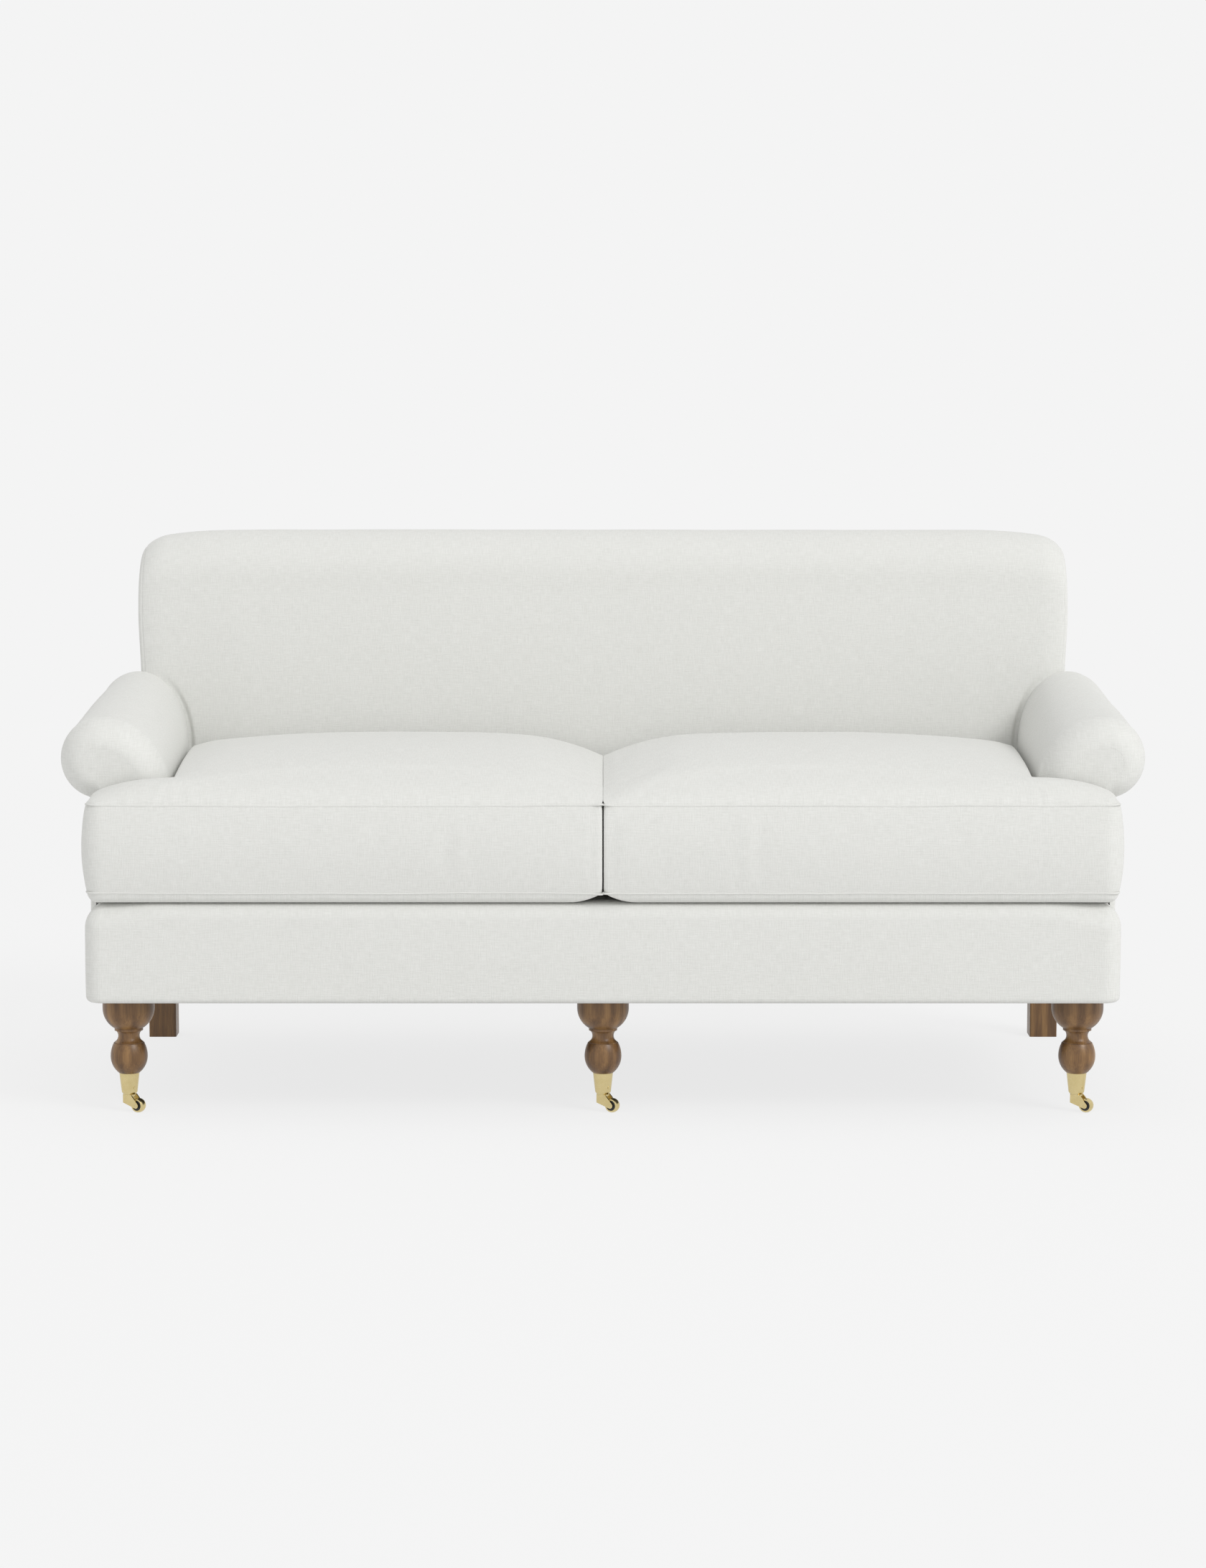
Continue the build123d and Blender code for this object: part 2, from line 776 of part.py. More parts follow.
def turned_leg():
    """A turned leg on its own axis: bowl, band, neck, ring, ball and the spigot inside the cup."""
    ring_z = cup_top + leg_ring_height
    neck_z = cup_top + leg_neck_height
    bowl_z = base_bottom - leg_bowl_height
    ball_z = cup_top + leg_ball_height
    collar_z = base_bottom - leg_collar
    spigot_z = cup_top - spigot_length
    inside = cup_wall + snug_fit
    cove_top = (leg_bowl_radius - leg_groove, bowl_z - leg_band)
    cove_foot = (leg_ring_radius - leg_groove, ring_z + leg_groove)
    profile = [
        Line((0, spigot_z), (cup_radius(spigot_z) - inside, spigot_z)),
        Line((cup_radius(spigot_z) - inside, spigot_z), (cup_top_radius - inside, cup_top)),
        Line((cup_top_radius - inside, cup_top), (leg_foot_radius, cup_top)),
        TangentArc((leg_ball_radius, ball_z), (leg_foot_radius, cup_top), tangent=(0, -1)),
        TangentArc((leg_ball_radius, ball_z), (leg_ring_radius, ring_z), tangent=(0, 1)),
        Line((leg_ring_radius, ring_z), (leg_ring_radius - leg_groove, ring_z)),
        Line((leg_ring_radius - leg_groove, ring_z), cove_foot),
        ThreePointArc(cove_foot, (leg_neck_radius, neck_z), cove_top),
        Line(cove_top, (leg_bowl_radius, cove_top[1])),
        Line((leg_bowl_radius, cove_top[1]), (leg_bowl_radius, bowl_z)),
        TangentArc((leg_top_radius, collar_z), (leg_bowl_radius, bowl_z), tangent=(0, -1)),
        Line((leg_top_radius, collar_z), (leg_top_radius, base_bottom)),
        Line((leg_top_radius, base_bottom), (0, base_bottom)),
        Line((0, base_bottom), (0, spigot_z)),
    ]
    outline = Plane.XZ * Face(Wire(profile))
    leg = revolve(outline, axis=Axis.Z)
    return leg - bolt_bore()


def bolt_bore(x=0.0, y=0.0):
    """The hanger bolt's bore in the top of a leg."""
    return rod(bolt_radius + snug_fit, base_bottom - bolt_depth, base_bottom, x, y)


def legs():
    leg = turned_leg()
    screw_cuts = [screw(angle, running_fit) for angle in cup_screw_angles]
    leg = drilled(leg, screw_cuts)
    for side, (x, y) in front_leg_axes.items():
        save("front_leg_" + side, Pos(x, y, 0) * leg)

    half = rear_leg_size / 2
    square_leg = block(-half, half, -half, half, 0, base_bottom)
    square_leg = fillet(square_leg.edges().filter_by(Axis.Z), rear_leg_round)
    square_leg = square_leg - bolt_bore()
    for side, (x, y) in rear_leg_axes.items():
        save("rear_leg_" + side, Pos(x, y, 0) * square_leg)

    insert_top = rail_bottom + insert_length
    bolts = [rod(bolt_radius, base_bottom - bolt_depth, insert_top, x, y) for x, y in leg_axes]
    bore = rod(bolt_radius + snug_fit, rail_bottom, insert_top)
    sleeve = rod(insert_radius, rail_bottom, insert_top) - bore
    save("leg_bolts", group(bolts))
    save("leg_inserts", group([Pos(x, y, 0) * sleeve for x, y in leg_axes]))


# Casters


def screw(angle, gap=0.0):
    """A cup screw on the leg's axis, pointing inwards, with a gap all round where it is a cutter."""
    z = cup_bottom + cup_screw_height
    seat = cup_radius(z) - screw_head_height / 2
    head = cross_rod(screw_head_radius + gap, seat - gap, seat + screw_head_height + gap, 0, z)
    shank = cross_rod(screw_radius + gap, seat - screw_length - gap, seat, 0, z)
    return Rot(0, 0, angle) * (head + shank)


def cup():
    """The tapered cup, with a bore in its floor for the swivel stem."""
    wall_foot = cup_bottom + cup_shoulder
    floor_top = cup_bottom + cup_floor
    outer = [
        (stem_radius + running_fit, cup_bottom),
        (cup_bottom_radius - cup_shoulder_inset, cup_bottom),
        (cup_bottom_radius, wall_foot),
        (cup_top_radius, cup_top),
        (cup_top_radius - cup_wall, cup_top),
        (cup_radius(wall_foot) - cup_wall, wall_foot),
        (cup_radius(wall_foot) - cup_wall - cup_shoulder_inset, floor_top),
        (stem_radius + running_fit, floor_top),
    ]
    outline = Face(Wire(Polyline(*[(r, 0, z) for r, z in outer], close=True).edges()))
    shell = revolve(outline, axis=Axis.Z)
    return drilled(shell, [screw(angle, running_fit) for angle in cup_screw_angles])


def fork():
    """Swivel fork with two arms to the axle, and the stem that turns in the cup's floor."""
    arm_edges = [
        *Rectangle(
            fork_heel + fork_toe,
            fork_height - fork_heel_height,
            align=(Align.MIN, Align.MIN),
        )
        .moved(Pos(-fork_heel, fork_heel_height))
        .edges(),
        *Circle(fork_boss).moved(Pos(caster_trail, wheel_radius)).edges(),
    ]
    arm = extrude(Plane.XZ * make_hull(arm_edges), amount=fork_arm / 2, both=True)
    middle = (fork_inner + fork_outer) / 2
    body = Pos(0, -middle, 0) * arm + Pos(0, middle, 0) * arm
    body = body + block(-fork_heel, fork_toe, -fork_outer, fork_outer, fork_height - fork_plate, fork_height)
    body = body + rod(swivel_disc_radius, fork_height - swivel_disc_height, fork_height)
    head_bottom = cup_bottom + cup_floor + running_fit
    body = body + rod(stem_radius, fork_height, head_bottom)
    body = body + rod(stem_head_radius, head_bottom, head_bottom + stem_head_height)
    return body - axle(axle_radius + snug_fit)


def axle(radius):
    """The wheel's axle, across both fork arms."""
    pin = Rot(90, 0, 0) * Cylinder(radius, 2 * fork_outer)
    return Pos(caster_trail, 0, wheel_radius) * pin


def wheel_place():
    return Pos(caster_trail, 0, wheel_radius) * Rot(90, 0, 0)


def wheel_tread():
    """The crowned ring that rolls on the floor."""
    half = wheel_width / 2
    shoulder = wheel_radius - wheel_crown
    edges = [
        Line((hub_radius, 0, -half), (shoulder, 0, -half)),
        ThreePointArc((shoulder, 0, -half), (wheel_radius, 0, 0), (shoulder, 0, half)),
        Line((shoulder, 0, half), (hub_radius, 0, half)),
        Line((hub_radius, 0, half), (hub_radius, 0, -half)),
    ]
    return wheel_place() * revolve(Face(Wire(edges)), axis=Axis.Z)


def wheel_hub():
    """The dark disc inside the tread, bored for the axle."""
    thickness = wheel_width - 2 * hub_recess
    disc = Cylinder(hub_radius, thickness) - Cylinder(axle_radius + running_fit, thickness)
    return wheel_place() * disc


def casters():
    pieces = {
        "caster_cup": cup(),
        "caster_fork": fork(),
        "caster_axle": axle(axle_radius),
        "wheel_tread": wheel_tread(),
        "wheel_hub": wheel_hub(),
    }
    screws = []
    for side, (x, y) in front_leg_axes.items():
        for name, piece in pieces.items():
            turned = piece if name == "caster_cup" else Rot(0, 0, caster_angle) * piece
            save(name + "_" + side, Pos(x, y, 0) * turned)
        screws += [Pos(x, y, 0) * screw(angle) for angle in cup_screw_angles]
    save("caster_screws", group(screws))


def main():
    os.makedirs("parts", exist_ok=True)
    seat_frame()
    seat_suspension()
    front_border()
    arms()
    back()
    seat_cushions()
    legs()
    casters()


main()
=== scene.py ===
import json
import math

import bmesh
import bpy
import numpy as np
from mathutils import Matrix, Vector


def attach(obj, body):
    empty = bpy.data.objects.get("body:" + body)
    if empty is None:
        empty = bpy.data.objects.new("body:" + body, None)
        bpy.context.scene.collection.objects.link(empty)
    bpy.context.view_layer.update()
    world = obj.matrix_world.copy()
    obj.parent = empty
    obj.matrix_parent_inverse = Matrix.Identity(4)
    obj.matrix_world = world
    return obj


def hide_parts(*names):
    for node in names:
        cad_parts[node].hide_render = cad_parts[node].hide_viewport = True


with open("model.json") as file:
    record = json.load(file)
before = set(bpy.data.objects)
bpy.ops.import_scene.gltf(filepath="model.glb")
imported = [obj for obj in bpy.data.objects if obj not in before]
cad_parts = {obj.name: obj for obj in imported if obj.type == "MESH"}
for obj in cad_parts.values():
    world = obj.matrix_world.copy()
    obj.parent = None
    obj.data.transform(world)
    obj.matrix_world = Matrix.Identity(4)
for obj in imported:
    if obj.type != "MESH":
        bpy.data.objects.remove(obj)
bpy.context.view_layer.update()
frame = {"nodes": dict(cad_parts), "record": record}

# Lengths are in metres. Front is -Y, left and right are as seen from the front.
# A slack is given as layers of noise, each with a depth and a size.

# Base and border
HALF_WIDTH = 0.852
FRONT = -0.4475
REAR = 0.4245
BASE_BOTTOM = 0.1925
BASE_TOP = 0.358
RAIL_OUTER = 0.831
BORDER_CORNER = 0.030
BORDER_FOOT = 0.009
BORDER_TOP = 0.026
BORDER_TOP_MORE = 0.016
BORDER_TOP_REACH = 0.13
BORDER_TOP_BLEND = 0.11
BORDER_DEPTH = 0.044
BORDER_GAP = 0.0004
BORDER_BELLY = 0.0006
BORDER_SLACK = ((0.0012, 0.20), (0.0005, 0.06))
BORDER_SLACK_FADE = 0.02
SHELF_INSET = 0.02
SHELF_SUNK = 0.0006

# Arms
ARM_FRONT = -0.3575
ARM_REAR = 0.2875
ARM_WALL = 0.102
ARM_FLARE = 0.0305
ROLL_X = 0.8365
ROLL_RADIUS = 0.068
ROLL_AXIS = 0.581
ROLL_SLOPE = 0.044 / 0.645
ROLL_FILLET = 0.030
SHOULDER = 0.062
DOME = 0.062
DOME_INSET = 0.042
ARM_SLACK = ((0.0011, 0.15), (0.0005, 0.06))
ARM_SLACK_FADE = 0.02
WALL_POINTS = 21
SHOULDER_POINTS = 33
CREST = WALL_POINTS + SHOULDER_POINTS

# Back
BACK_FRONT = 0.1925
BACK_TOP = 0.940
BACK_HALF = 0.840
BACK_RAKE = 0.062
BACK_LEAN = 0.033
BACK_KNEE = 0.420
BACK_ROLL_START = 0.848
BACK_CROWN = 0.012
BACK_CROWN_LOSS = 0.9
BACK_SOFTNESS = 0.035
BACK_STEPS = 600
BACK_POINTS = 281
BACK_SLACK = ((0.0010, 0.22), (0.0004, 0.08))
BACK_SLACK_FADE = 0.02
CORNER_WIDTH = 0.050
CORNER_HEIGHT = 0.029
CORNER_DRAW = 0.015
SLOPE_WIDTH = 0.180
SLOPE_DROP = 0.0165
SLOPE_POWER = 2.2
BACK_SEAM = 0.833
SEAM_REACH = 0.005
SEAM_DEPTH = 0.0008
SEAM_WIDTH = 0.0013
TUCK_WIDTH = 0.0035
TUCK_DEPTH = 0.005
TUCK_EDGE = 0.025
TUCK_FADE = 0.06
TUCK_FRONT = 0.12
TUCK_FRONT_FADE = 0.02
WAIST_DRAW = 0.0075
WAIST_TOP = 0.80
WAIST_FADE = 0.14
END_DOME = 0.0015
END_DOME_POWER = 0.6
END_DOME_RISE = 0.1

# Outside panels
PANEL_DEPTH = 0.010
PANEL_EDGE = 0.009
PANEL_DOME = 0.0012
PANEL_GAP = 0.0005
PANEL_SLACK = ((0.0009, 0.17),)
PANEL_SLACK_FADE = 0.03
SIDE_PANEL_SUNK = 0.0105
SIDE_PANEL_LAP = 0.004
BACK_PANEL_TOP = 0.808
BACK_PANEL_HALF = 0.8365
BACK_PANEL_SUNK = 0.0088
BACK_PANEL_BED = 0.006

# Seat cushions
CUSHION_INNER = 0.0019
CUSHION_OUTER = 0.7176
CUSHION_SPREAD = 0.0661
CUSHION_REAR = 0.1885
CUSHION_BOTTOM = 0.3585
EAR_X = 0.848
EAR_REAR = -0.3595
SEAM_LOW = 0.376
SEAM_HIGH = 0.520
GAP_CORNER = 0.007
EAR_FRONT_CORNER = 0.026
EAR_REAR_CORNER = 0.016
REAR_CORNER = 0.024
CROWN = 0.0795
CROWN_POWER = 0.55
REAR_CROWN = 0.62
REAR_CROWN_POWER = 0.6
SIDE_CROWN = 0.034
SIDE_CROWN_POWER = 0.45
EAR_CROWN = 0.040
EAR_BLEND_X = 0.085
EAR_BLEND_START = 0.06
EAR_BLEND_Y = 0.09
PRESSED_ROLL = 0.012
GAP_FINE = 0.012
GAP_ROLL = 0.0022
GAP_CROWN = 0.37
GAP_FALL = 0.062
GAP_LINE = 0.0002
GAP_WALL = 0.0012
GAP_SWELL = 0.005
GAP_SWELL_FALL = 0.010
GAP_SWELL_RISE = 0.008
NOTCH_WIDTH = 0.060
NOTCH_DEPTH = 0.12
NOTCH_FADE = 0.10
UNDER_TURN = 0.020
FRONT_BULGE = 0.0080
EAR_BULGE = 0.0068
PRESSED_BULGE = 0.0004
BULGE_POWER = 0.75
BULGE_BLEND = 0.010
FREE_BLEND = 0.012
TURN_BLEND = 0.004
FREE_EDGE = 0.02
TOP_SLACK = ((0.0010, 0.19), (0.0004, 0.07))
TOP_SLACK_RISE = 0.03
WALL_SLACK = ((0.0012, 0.11), (0.0005, 0.045))
PUCKER_DRIFT = 2.5
TOP_PUCKER = 0.0006
TOP_PUCKER_PITCH = 0.026
TOP_PUCKER_SIZE = 0.09
TOP_PUCKER_REACH = 0.016
TOP_PUCKER_START = 0.004
WALL_PUCKER = 0.0005
WALL_PUCKER_PITCH = 0.024
WALL_PUCKER_SIZE = 0.08
WALL_PUCKER_REACH = 0.014
CREASE_X = 0.235
CREASE_WIDTH = 0.009
CREASE_HEIGHT = 0.0016
HOLLOW_X = CREASE_X + 0.022
HOLLOW_WIDTH = 0.011
HOLLOW_SHARE = 0.7
WELT_RADIUS = 0.0017
WELT_POINT = 0.0036
WELT_LIFT = 0.0018
WELT_SLACK = ((6, 0.0011, 0.12), (8, 0.0004, 0.035))
WELT_SUNK_HIGH = 0.0008
WELT_SUNK_LOW = 0.0005
EAR_POINT_SIZE = 0.016
GAP_POINT_SIZE = 0.012

# Cloth run of the cushions
CLOTH_FRAMES = 10
CLOTH_QUALITY = 3
CLOTH_SHRINK = -0.003
CLOTH_PRESSURE = 4.0
CLOTH_CALM = 10
CLOTH_LIMIT = 0.0025
HELD_SIDE = 0.03
HELD_SEAM = 0.003
HELD_SEAM_FADE = 0.008

# Meshes
WELD = 1e-5
SLIVER = 1e-6
SHARP = math.radians(62)

# Floor, light and camera
BACKGROUND = 0.905
FLOOR_HALF = 60
FLOOR_LIFT = 0.87
FLOOR_NEAR = 2.0
FLOOR_FAR = 7.0
SKY = 0.785
LAMP_LEVEL = 1.20
LAMP_DISTANCE = 30.0
LAMP_SIZE = 10.6
LAMP_AIM = (0, 0, 0.5)
LAMP_DIRECTION = (0.54, -0.54, 0.62)
CAMERA_PLACE = (0.0, -6.7265, 1.216)
CAMERA_TILT = math.radians(84)
CAMERA_REACH = 200.0
SENSOR = 36.0
FOCAL_PIXELS = 5390
PHOTO_PIXELS = 2185


# Small tools

def smooth(t):
    """Eases from 0 to 1."""
    t = np.clip(t, 0.0, 1.0)
    return t * t * (3 - 2 * t)


def quarter(t):
    """A quarter round: 0 with a steep start, 1 from t = 1 on."""
    return np.sqrt(1 - (1 - np.clip(t, 0.0, 1.0)) ** 2)


def arch(t):
    """A parabola that rises from 0 and is level at t = 1."""
    return 1 - (1 - np.clip(t, 0, 1)) ** 2


def soft_noise(points, size, seed):
    """Smooth noise from -1 to 1 at an array of points, with features of about a given size."""
    scaled = np.asarray(points, float) / size + 31.7 * seed
    cell = np.floor(scaled).astype(np.int64)
    t = scaled - cell
    t = t * t * (3 - 2 * t)
    total = np.zeros(scaled.shape[:-1])
    for corner in np.ndindex(2, 2, 2):
        at = cell + np.array(corner)
        code = (at[..., 0] * 73856093) ^ (at[..., 1] * 19349663) ^ (at[..., 2] * 83492791)
        code = (code * 1103515245 + 12345) & 0x7FFFFFFF
        code = ((code ^ (code >> 13)) * 1274126177) & 0x7FFFFFFF
        weight = np.prod(np.where(np.array(corner) == 1, t, 1 - t), axis=-1)
        total += weight * (code / 0x3FFFFFFF - 1)
    return total


def slack(points, seed, layers):
    """Unevenness of stretched cloth at an array of points."""
    return sum(depth * soft_noise(points, size, seed + k) for k, (depth, size) in enumerate(layers))


def puckers(along, points, pitch, size, seed):
    """Small gathers along a seam, unevenly spaced."""
    return np.cos(2 * np.pi * along / pitch + PUCKER_DRIFT * soft_noise(points, size, seed))


def graded(start, end, count, both=True, share=0.8):
    """Numbers from start to end, closer together at both ends or only at the far one."""
    t = np.linspace(0.0, 1.0, count)
    eased = (1 - np.cos(np.pi * t)) / 2 if both else np.sin(np.pi / 2 * t)
    return start + (end - start) * (share * eased + (1 - share) * t)


def grid(points, cloth):
    """A patch of cloth from a grid of points and the same grid of cloth coordinates."""
    rows, cols = points.shape[:2]
    r = np.arange(rows - 1)[:, None]
    c = np.arange(cols - 1)[None, :]
    corner = r * cols + c
    faces = np.stack([corner, corner + 1, corner + cols + 1, corner + cols], -1).reshape(-1, 4)
    return points.reshape(-1, 3), faces, cloth.reshape(-1, 2)


def between(first, second, count):
    """A grid of points ruled from one line to another."""
    share = np.linspace(0, 1, count)
    return first[:, None] + (second - first)[:, None] * share[None, :, None]


def outward(points):
    """Unit normals of a grid of points, by the order of its rows and columns."""
    along = np.gradient(points, axis=0)
    across = np.gradient(points, axis=1)
    out = np.cross(along, across)
    length = np.linalg.norm(out, axis=-1, keepdims=True)
    return out / np.maximum(length, 1e-12)


def run(points, axis):
    """Distance along a grid's rows or columns, from its start."""
    step = np.linalg.norm(np.diff(points, axis=axis), axis=-1)
    first = np.zeros_like(np.take(step, [0], axis=axis))
    return np.concatenate([first, np.cumsum(step, axis=axis)], axis=axis)


def pair(u, v):
    return np.stack(np.broadcast_arrays(u, v), -1)


def spaced(line, count):
    """A polyline's points, evenly spread along it."""
    length = run(line[:, None, :], 0)[:, 0]
    at = np.linspace(0, length[-1], count)
    return np.stack([np.interp(at, length, line[:, k]) for k in range(line.shape[1])], -1)


def tube(path, out, radius, sides=10):
    """A closed cord along a ring of points, with its section turned by outward directions."""
    path = np.concatenate([path, path[:1]])
    out = np.concatenate([out, out[:1]])
    turn = np.linspace(0, 2 * np.pi, sides + 1)
    up = np.array([0.0, 0.0, 1.0])
    ring = np.cos(turn)[None, :, None] * out[:, None, :] + np.sin(turn)[None, :, None] * up
    points = path[:, None, :] + radius * ring
    along = run(path[:, None, :], 0)
    return grid(points, pair(along, turn[None, :] * radius))


def both_sides(make, seeds):
    """Each side's name and patches. They are made for the right and mirrored for the left."""
    for side, way, seed in zip(("right", "left"), (1.0, -1.0), seeds):
        mirror = np.array([way, 1.0, 1.0])
        yield side, [(points * mirror, faces, cloth) for points, faces, cloth in make(seed)]


def points_of(mesh):
    flat = np.empty(3 * len(mesh.vertices), np.float32)
    mesh.vertices.foreach_get("co", flat)
    return flat.reshape(-1, 3).astype(float)


def settle(made, held):
    """Lets a piece swell as sewn cloth. It is held where held is 1, and no point moves past the limit."""
    rest = points_of(made.data)
    sewn = made.vertex_groups.new(name="sewn")
    for level in np.unique(held):
        sewn.add(np.flatnonzero(held == level).tolist(), float(level), "REPLACE")
    cloth = made.modifiers.new("cloth", "CLOTH")
    cloth.settings.quality = CLOTH_QUALITY
    cloth.settings.vertex_group_mass = sewn.name
    cloth.settings.shrink_min = CLOTH_SHRINK
    cloth.settings.use_pressure = True
    cloth.settings.uniform_pressure_force = CLOTH_PRESSURE
    cloth.settings.effector_weights.gravity = 0.0
    cloth.collision_settings.use_collision = False
    for number in range(1, CLOTH_FRAMES + 1):
        bpy.context.scene.frame_set(number)
    solved = made.evaluated_get(bpy.context.evaluated_depsgraph_get())
    moved = points_of(solved.data) - rest
    made.modifiers.remove(cloth)
    made.vertex_groups.remove(sewn)
    far = np.linalg.norm(moved, axis=1, keepdims=True)
    moved *= np.minimum(1, CLOTH_LIMIT / np.maximum(far, 1e-9))
    ends = np.empty(2 * len(made.data.edges), np.int32)
    made.data.edges.foreach_get("vertices", ends)
    first, second = ends.reshape(-1, 2).T
    degree = np.bincount(ends, minlength=len(moved))[:, None]
    for _ in range(CLOTH_CALM):
        around = np.zeros_like(moved)
        np.add.at(around, first, moved[second])
        np.add.at(around, second, moved[first])
        moved = (moved + around / np.maximum(degree, 1)) / 2
    moved *= 1 - held[:, None]
    made.data.vertices.foreach_set("co", (rest + moved).astype(np.float32).ravel())
    made.data.update()
    bpy.context.scene.frame_set(1)


def cover(name, patches, body, solid, holds=None):
    """A linen cover from patches welded where they meet, riding on a body in place of a soft solid."""
    start = 0
    all_points, all_faces, all_cloth = [], [], []
    for points, faces, cloth in patches:
        all_points.append(points)
        all_faces.append(faces + start)
        all_cloth.append(cloth)
        start += len(points)
    mesh = bpy.data.meshes.new(name)
    mesh.from_pydata(np.concatenate(all_points).tolist(), [], np.concatenate(all_faces).tolist())
    corners = np.empty(len(mesh.loops), np.int32)
    mesh.loops.foreach_get("vertex_index", corners)
    layer = mesh.uv_layers.new(name="cloth")
    layer.data.foreach_set("uv", np.concatenate(all_cloth)[corners].astype(np.float32).ravel())
    bm = bmesh.new()
    bm.from_mesh(mesh)
    bmesh.ops.remove_doubles(bm, verts=bm.verts, dist=WELD)
    bmesh.ops.dissolve_degenerate(bm, dist=SLIVER, edges=bm.edges)
    bmesh.ops.recalc_face_normals(bm, faces=bm.faces)
    bm.to_mesh(mesh)
    bm.free()
    mesh.shade_smooth()
    mesh.set_sharp_from_angle(angle=SHARP)
    mesh.materials.append(by_slot["linen"])
    made = bpy.data.objects.new(name, mesh)
    bpy.context.scene.collection.objects.link(made)
    if holds is not None:
        settle(made, holds(points_of(mesh)))
    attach(made, body)
    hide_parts(solid)


# Materials

def node(tree, kind, inputs=None, **settings):
    """A shader node with its settings, and its inputs given as values or as other nodes' outputs."""
    made = tree.nodes.new(kind)
    for key, value in settings.items():
        setattr(made, key, value)
    for key, value in (inputs or {}).items():
        if isinstance(value, bpy.types.NodeSocket):
            tree.links.new(value, made.inputs[key])
        else:
            made.inputs[key].default_value = value
    return made


def math_node(tree, operation, a, b):
    return node(tree, "ShaderNodeMath", {0: a, 1: b}, operation=operation).outputs[0]


def blend(tree, *parts):
    """The sum of values, each times its weight."""
    terms = [math_node(tree, "MULTIPLY", value, weight) for value, weight in parts]
    total = terms[0]
    for term in terms[1:]:
        total = math_node(tree, "ADD", total, term)
    return total


def ramp(tree, value, stops):
    """Colours along a value."""
    made = node(tree, "ShaderNodeValToRGB", {0: value})
    elements = made.color_ramp.elements
    while len(elements) < len(stops):
        elements.new(0.5)
    for element, (place, colour) in zip(elements, stops):
        element.position = place
        element.color = (*colour, 1.0)
    return made.outputs[0]


def noise_of(tree, vector, scale, detail, stretch=None):
    if stretch:
        vector = node(tree, "ShaderNodeMapping", {"Vector": vector, "Scale": stretch}).outputs[0]
    return node(tree, "ShaderNodeTexNoise", {"Vector": vector, "Scale": scale, "Detail": detail}).outputs[0]


def wave_of(tree, vector, direction, pitch, distortion, detail_scale):
    inputs = {
        "Vector": vector,
        "Scale": math.pi / 10 / pitch,
        "Distortion": distortion,
        "Detail": 1.0,
        "Detail Scale": detail_scale,
    }
    settings = {"wave_type": "BANDS", "bands_direction": direction}
    return node(tree, "ShaderNodeTexWave", inputs, **settings).outputs["Fac"]


def blank(name):
    """A material with a shader on its output."""
    material = bpy.data.materials.new(name)
    material.use_nodes = True
    tree = material.node_tree
    tree.nodes.clear()
    shader = node(tree, "ShaderNodeBsdfPrincipled")
    output = node(tree, "ShaderNodeOutputMaterial")
    tree.links.new(shader.outputs[0], output.inputs[0])
    return material, tree, shader


def finish_of(shader, **values):
    """Sets a shader's plain inputs by short names."""
    names = {"rough": "Roughness", "sheen": "Sheen Weight", "sheen_rough": "Sheen Roughness",
             "specular": "Specular IOR Level", "coat": "Coat Weight", "coat_rough": "Coat Roughness",
             "metal": "Metallic"}
    for key, value in values.items():
        shader.inputs[names[key]].default_value = value


def bump(tree, shader, height, strength, distance, before=None):
    inputs = {"Height": height, "Strength": strength, "Distance": distance}
    if before is not None:
        inputs["Normal"] = before
    made = node(tree, "ShaderNodeBump", inputs).outputs[0]
    tree.links.new(made, shader.inputs["Normal"])
    return made


def cloth_material(name, dark, light, pitch=0.0016, relief=0.5):
    """Plain weave from uneven threads, in the cloth coordinates of the mesh, which are in metres."""
    material, tree, shader = blank(name)
    cloth = node(tree, "ShaderNodeUVMap", uv_map="cloth").outputs[0]
    warp = wave_of(tree, cloth, "X", pitch, 1.2, 2.0)
    weft = wave_of(tree, cloth, "Y", pitch, 1.2, 2.0)
    over_x = math_node(tree, "SUBTRACT", wave_of(tree, cloth, "X", 2 * pitch, 0.0, 1.0), 0.5)
    over_y = math_node(tree, "SUBTRACT", wave_of(tree, cloth, "Y", 2 * pitch, 0.0, 1.0), 0.5)
    same = math_node(tree, "MULTIPLY", over_x, over_y)
    over = math_node(tree, "ADD", math_node(tree, "MULTIPLY", same, 2.0), 0.5)
    under = math_node(tree, "SUBTRACT", 1.0, over)
    warp_over = math_node(tree, "MULTIPLY", warp, over)
    weft_over = math_node(tree, "MULTIPLY", weft, under)
    threads = math_node(tree, "MAXIMUM", warp_over, weft_over)
    slub_across = noise_of(tree, cloth, 1.0, 3.0, (55.0, 620.0, 1.0))
    slub_along = noise_of(tree, cloth, 1.0, 3.0, (620.0, 55.0, 1.0))
    mottle = noise_of(tree, cloth, 26.0, 4.0)
    slubs = math_node(tree, "MULTIPLY", math_node(tree, "ADD", slub_across, slub_along), 0.5)
    tone = blend(tree, (slubs, 0.78), (mottle, 0.06), (threads, 0.16))
    colour = ramp(tree, tone, [(0.30, dark), (0.68, light)])
    tree.links.new(colour, shader.inputs["Base Color"])
    finish_of(shader, rough=0.92, sheen=0.18, sheen_rough=0.45, specular=0.18)
    first = bump(tree, shader, slubs, relief, 0.0012)
    bump(tree, shader, threads, relief, 0.0005, first)
    return material


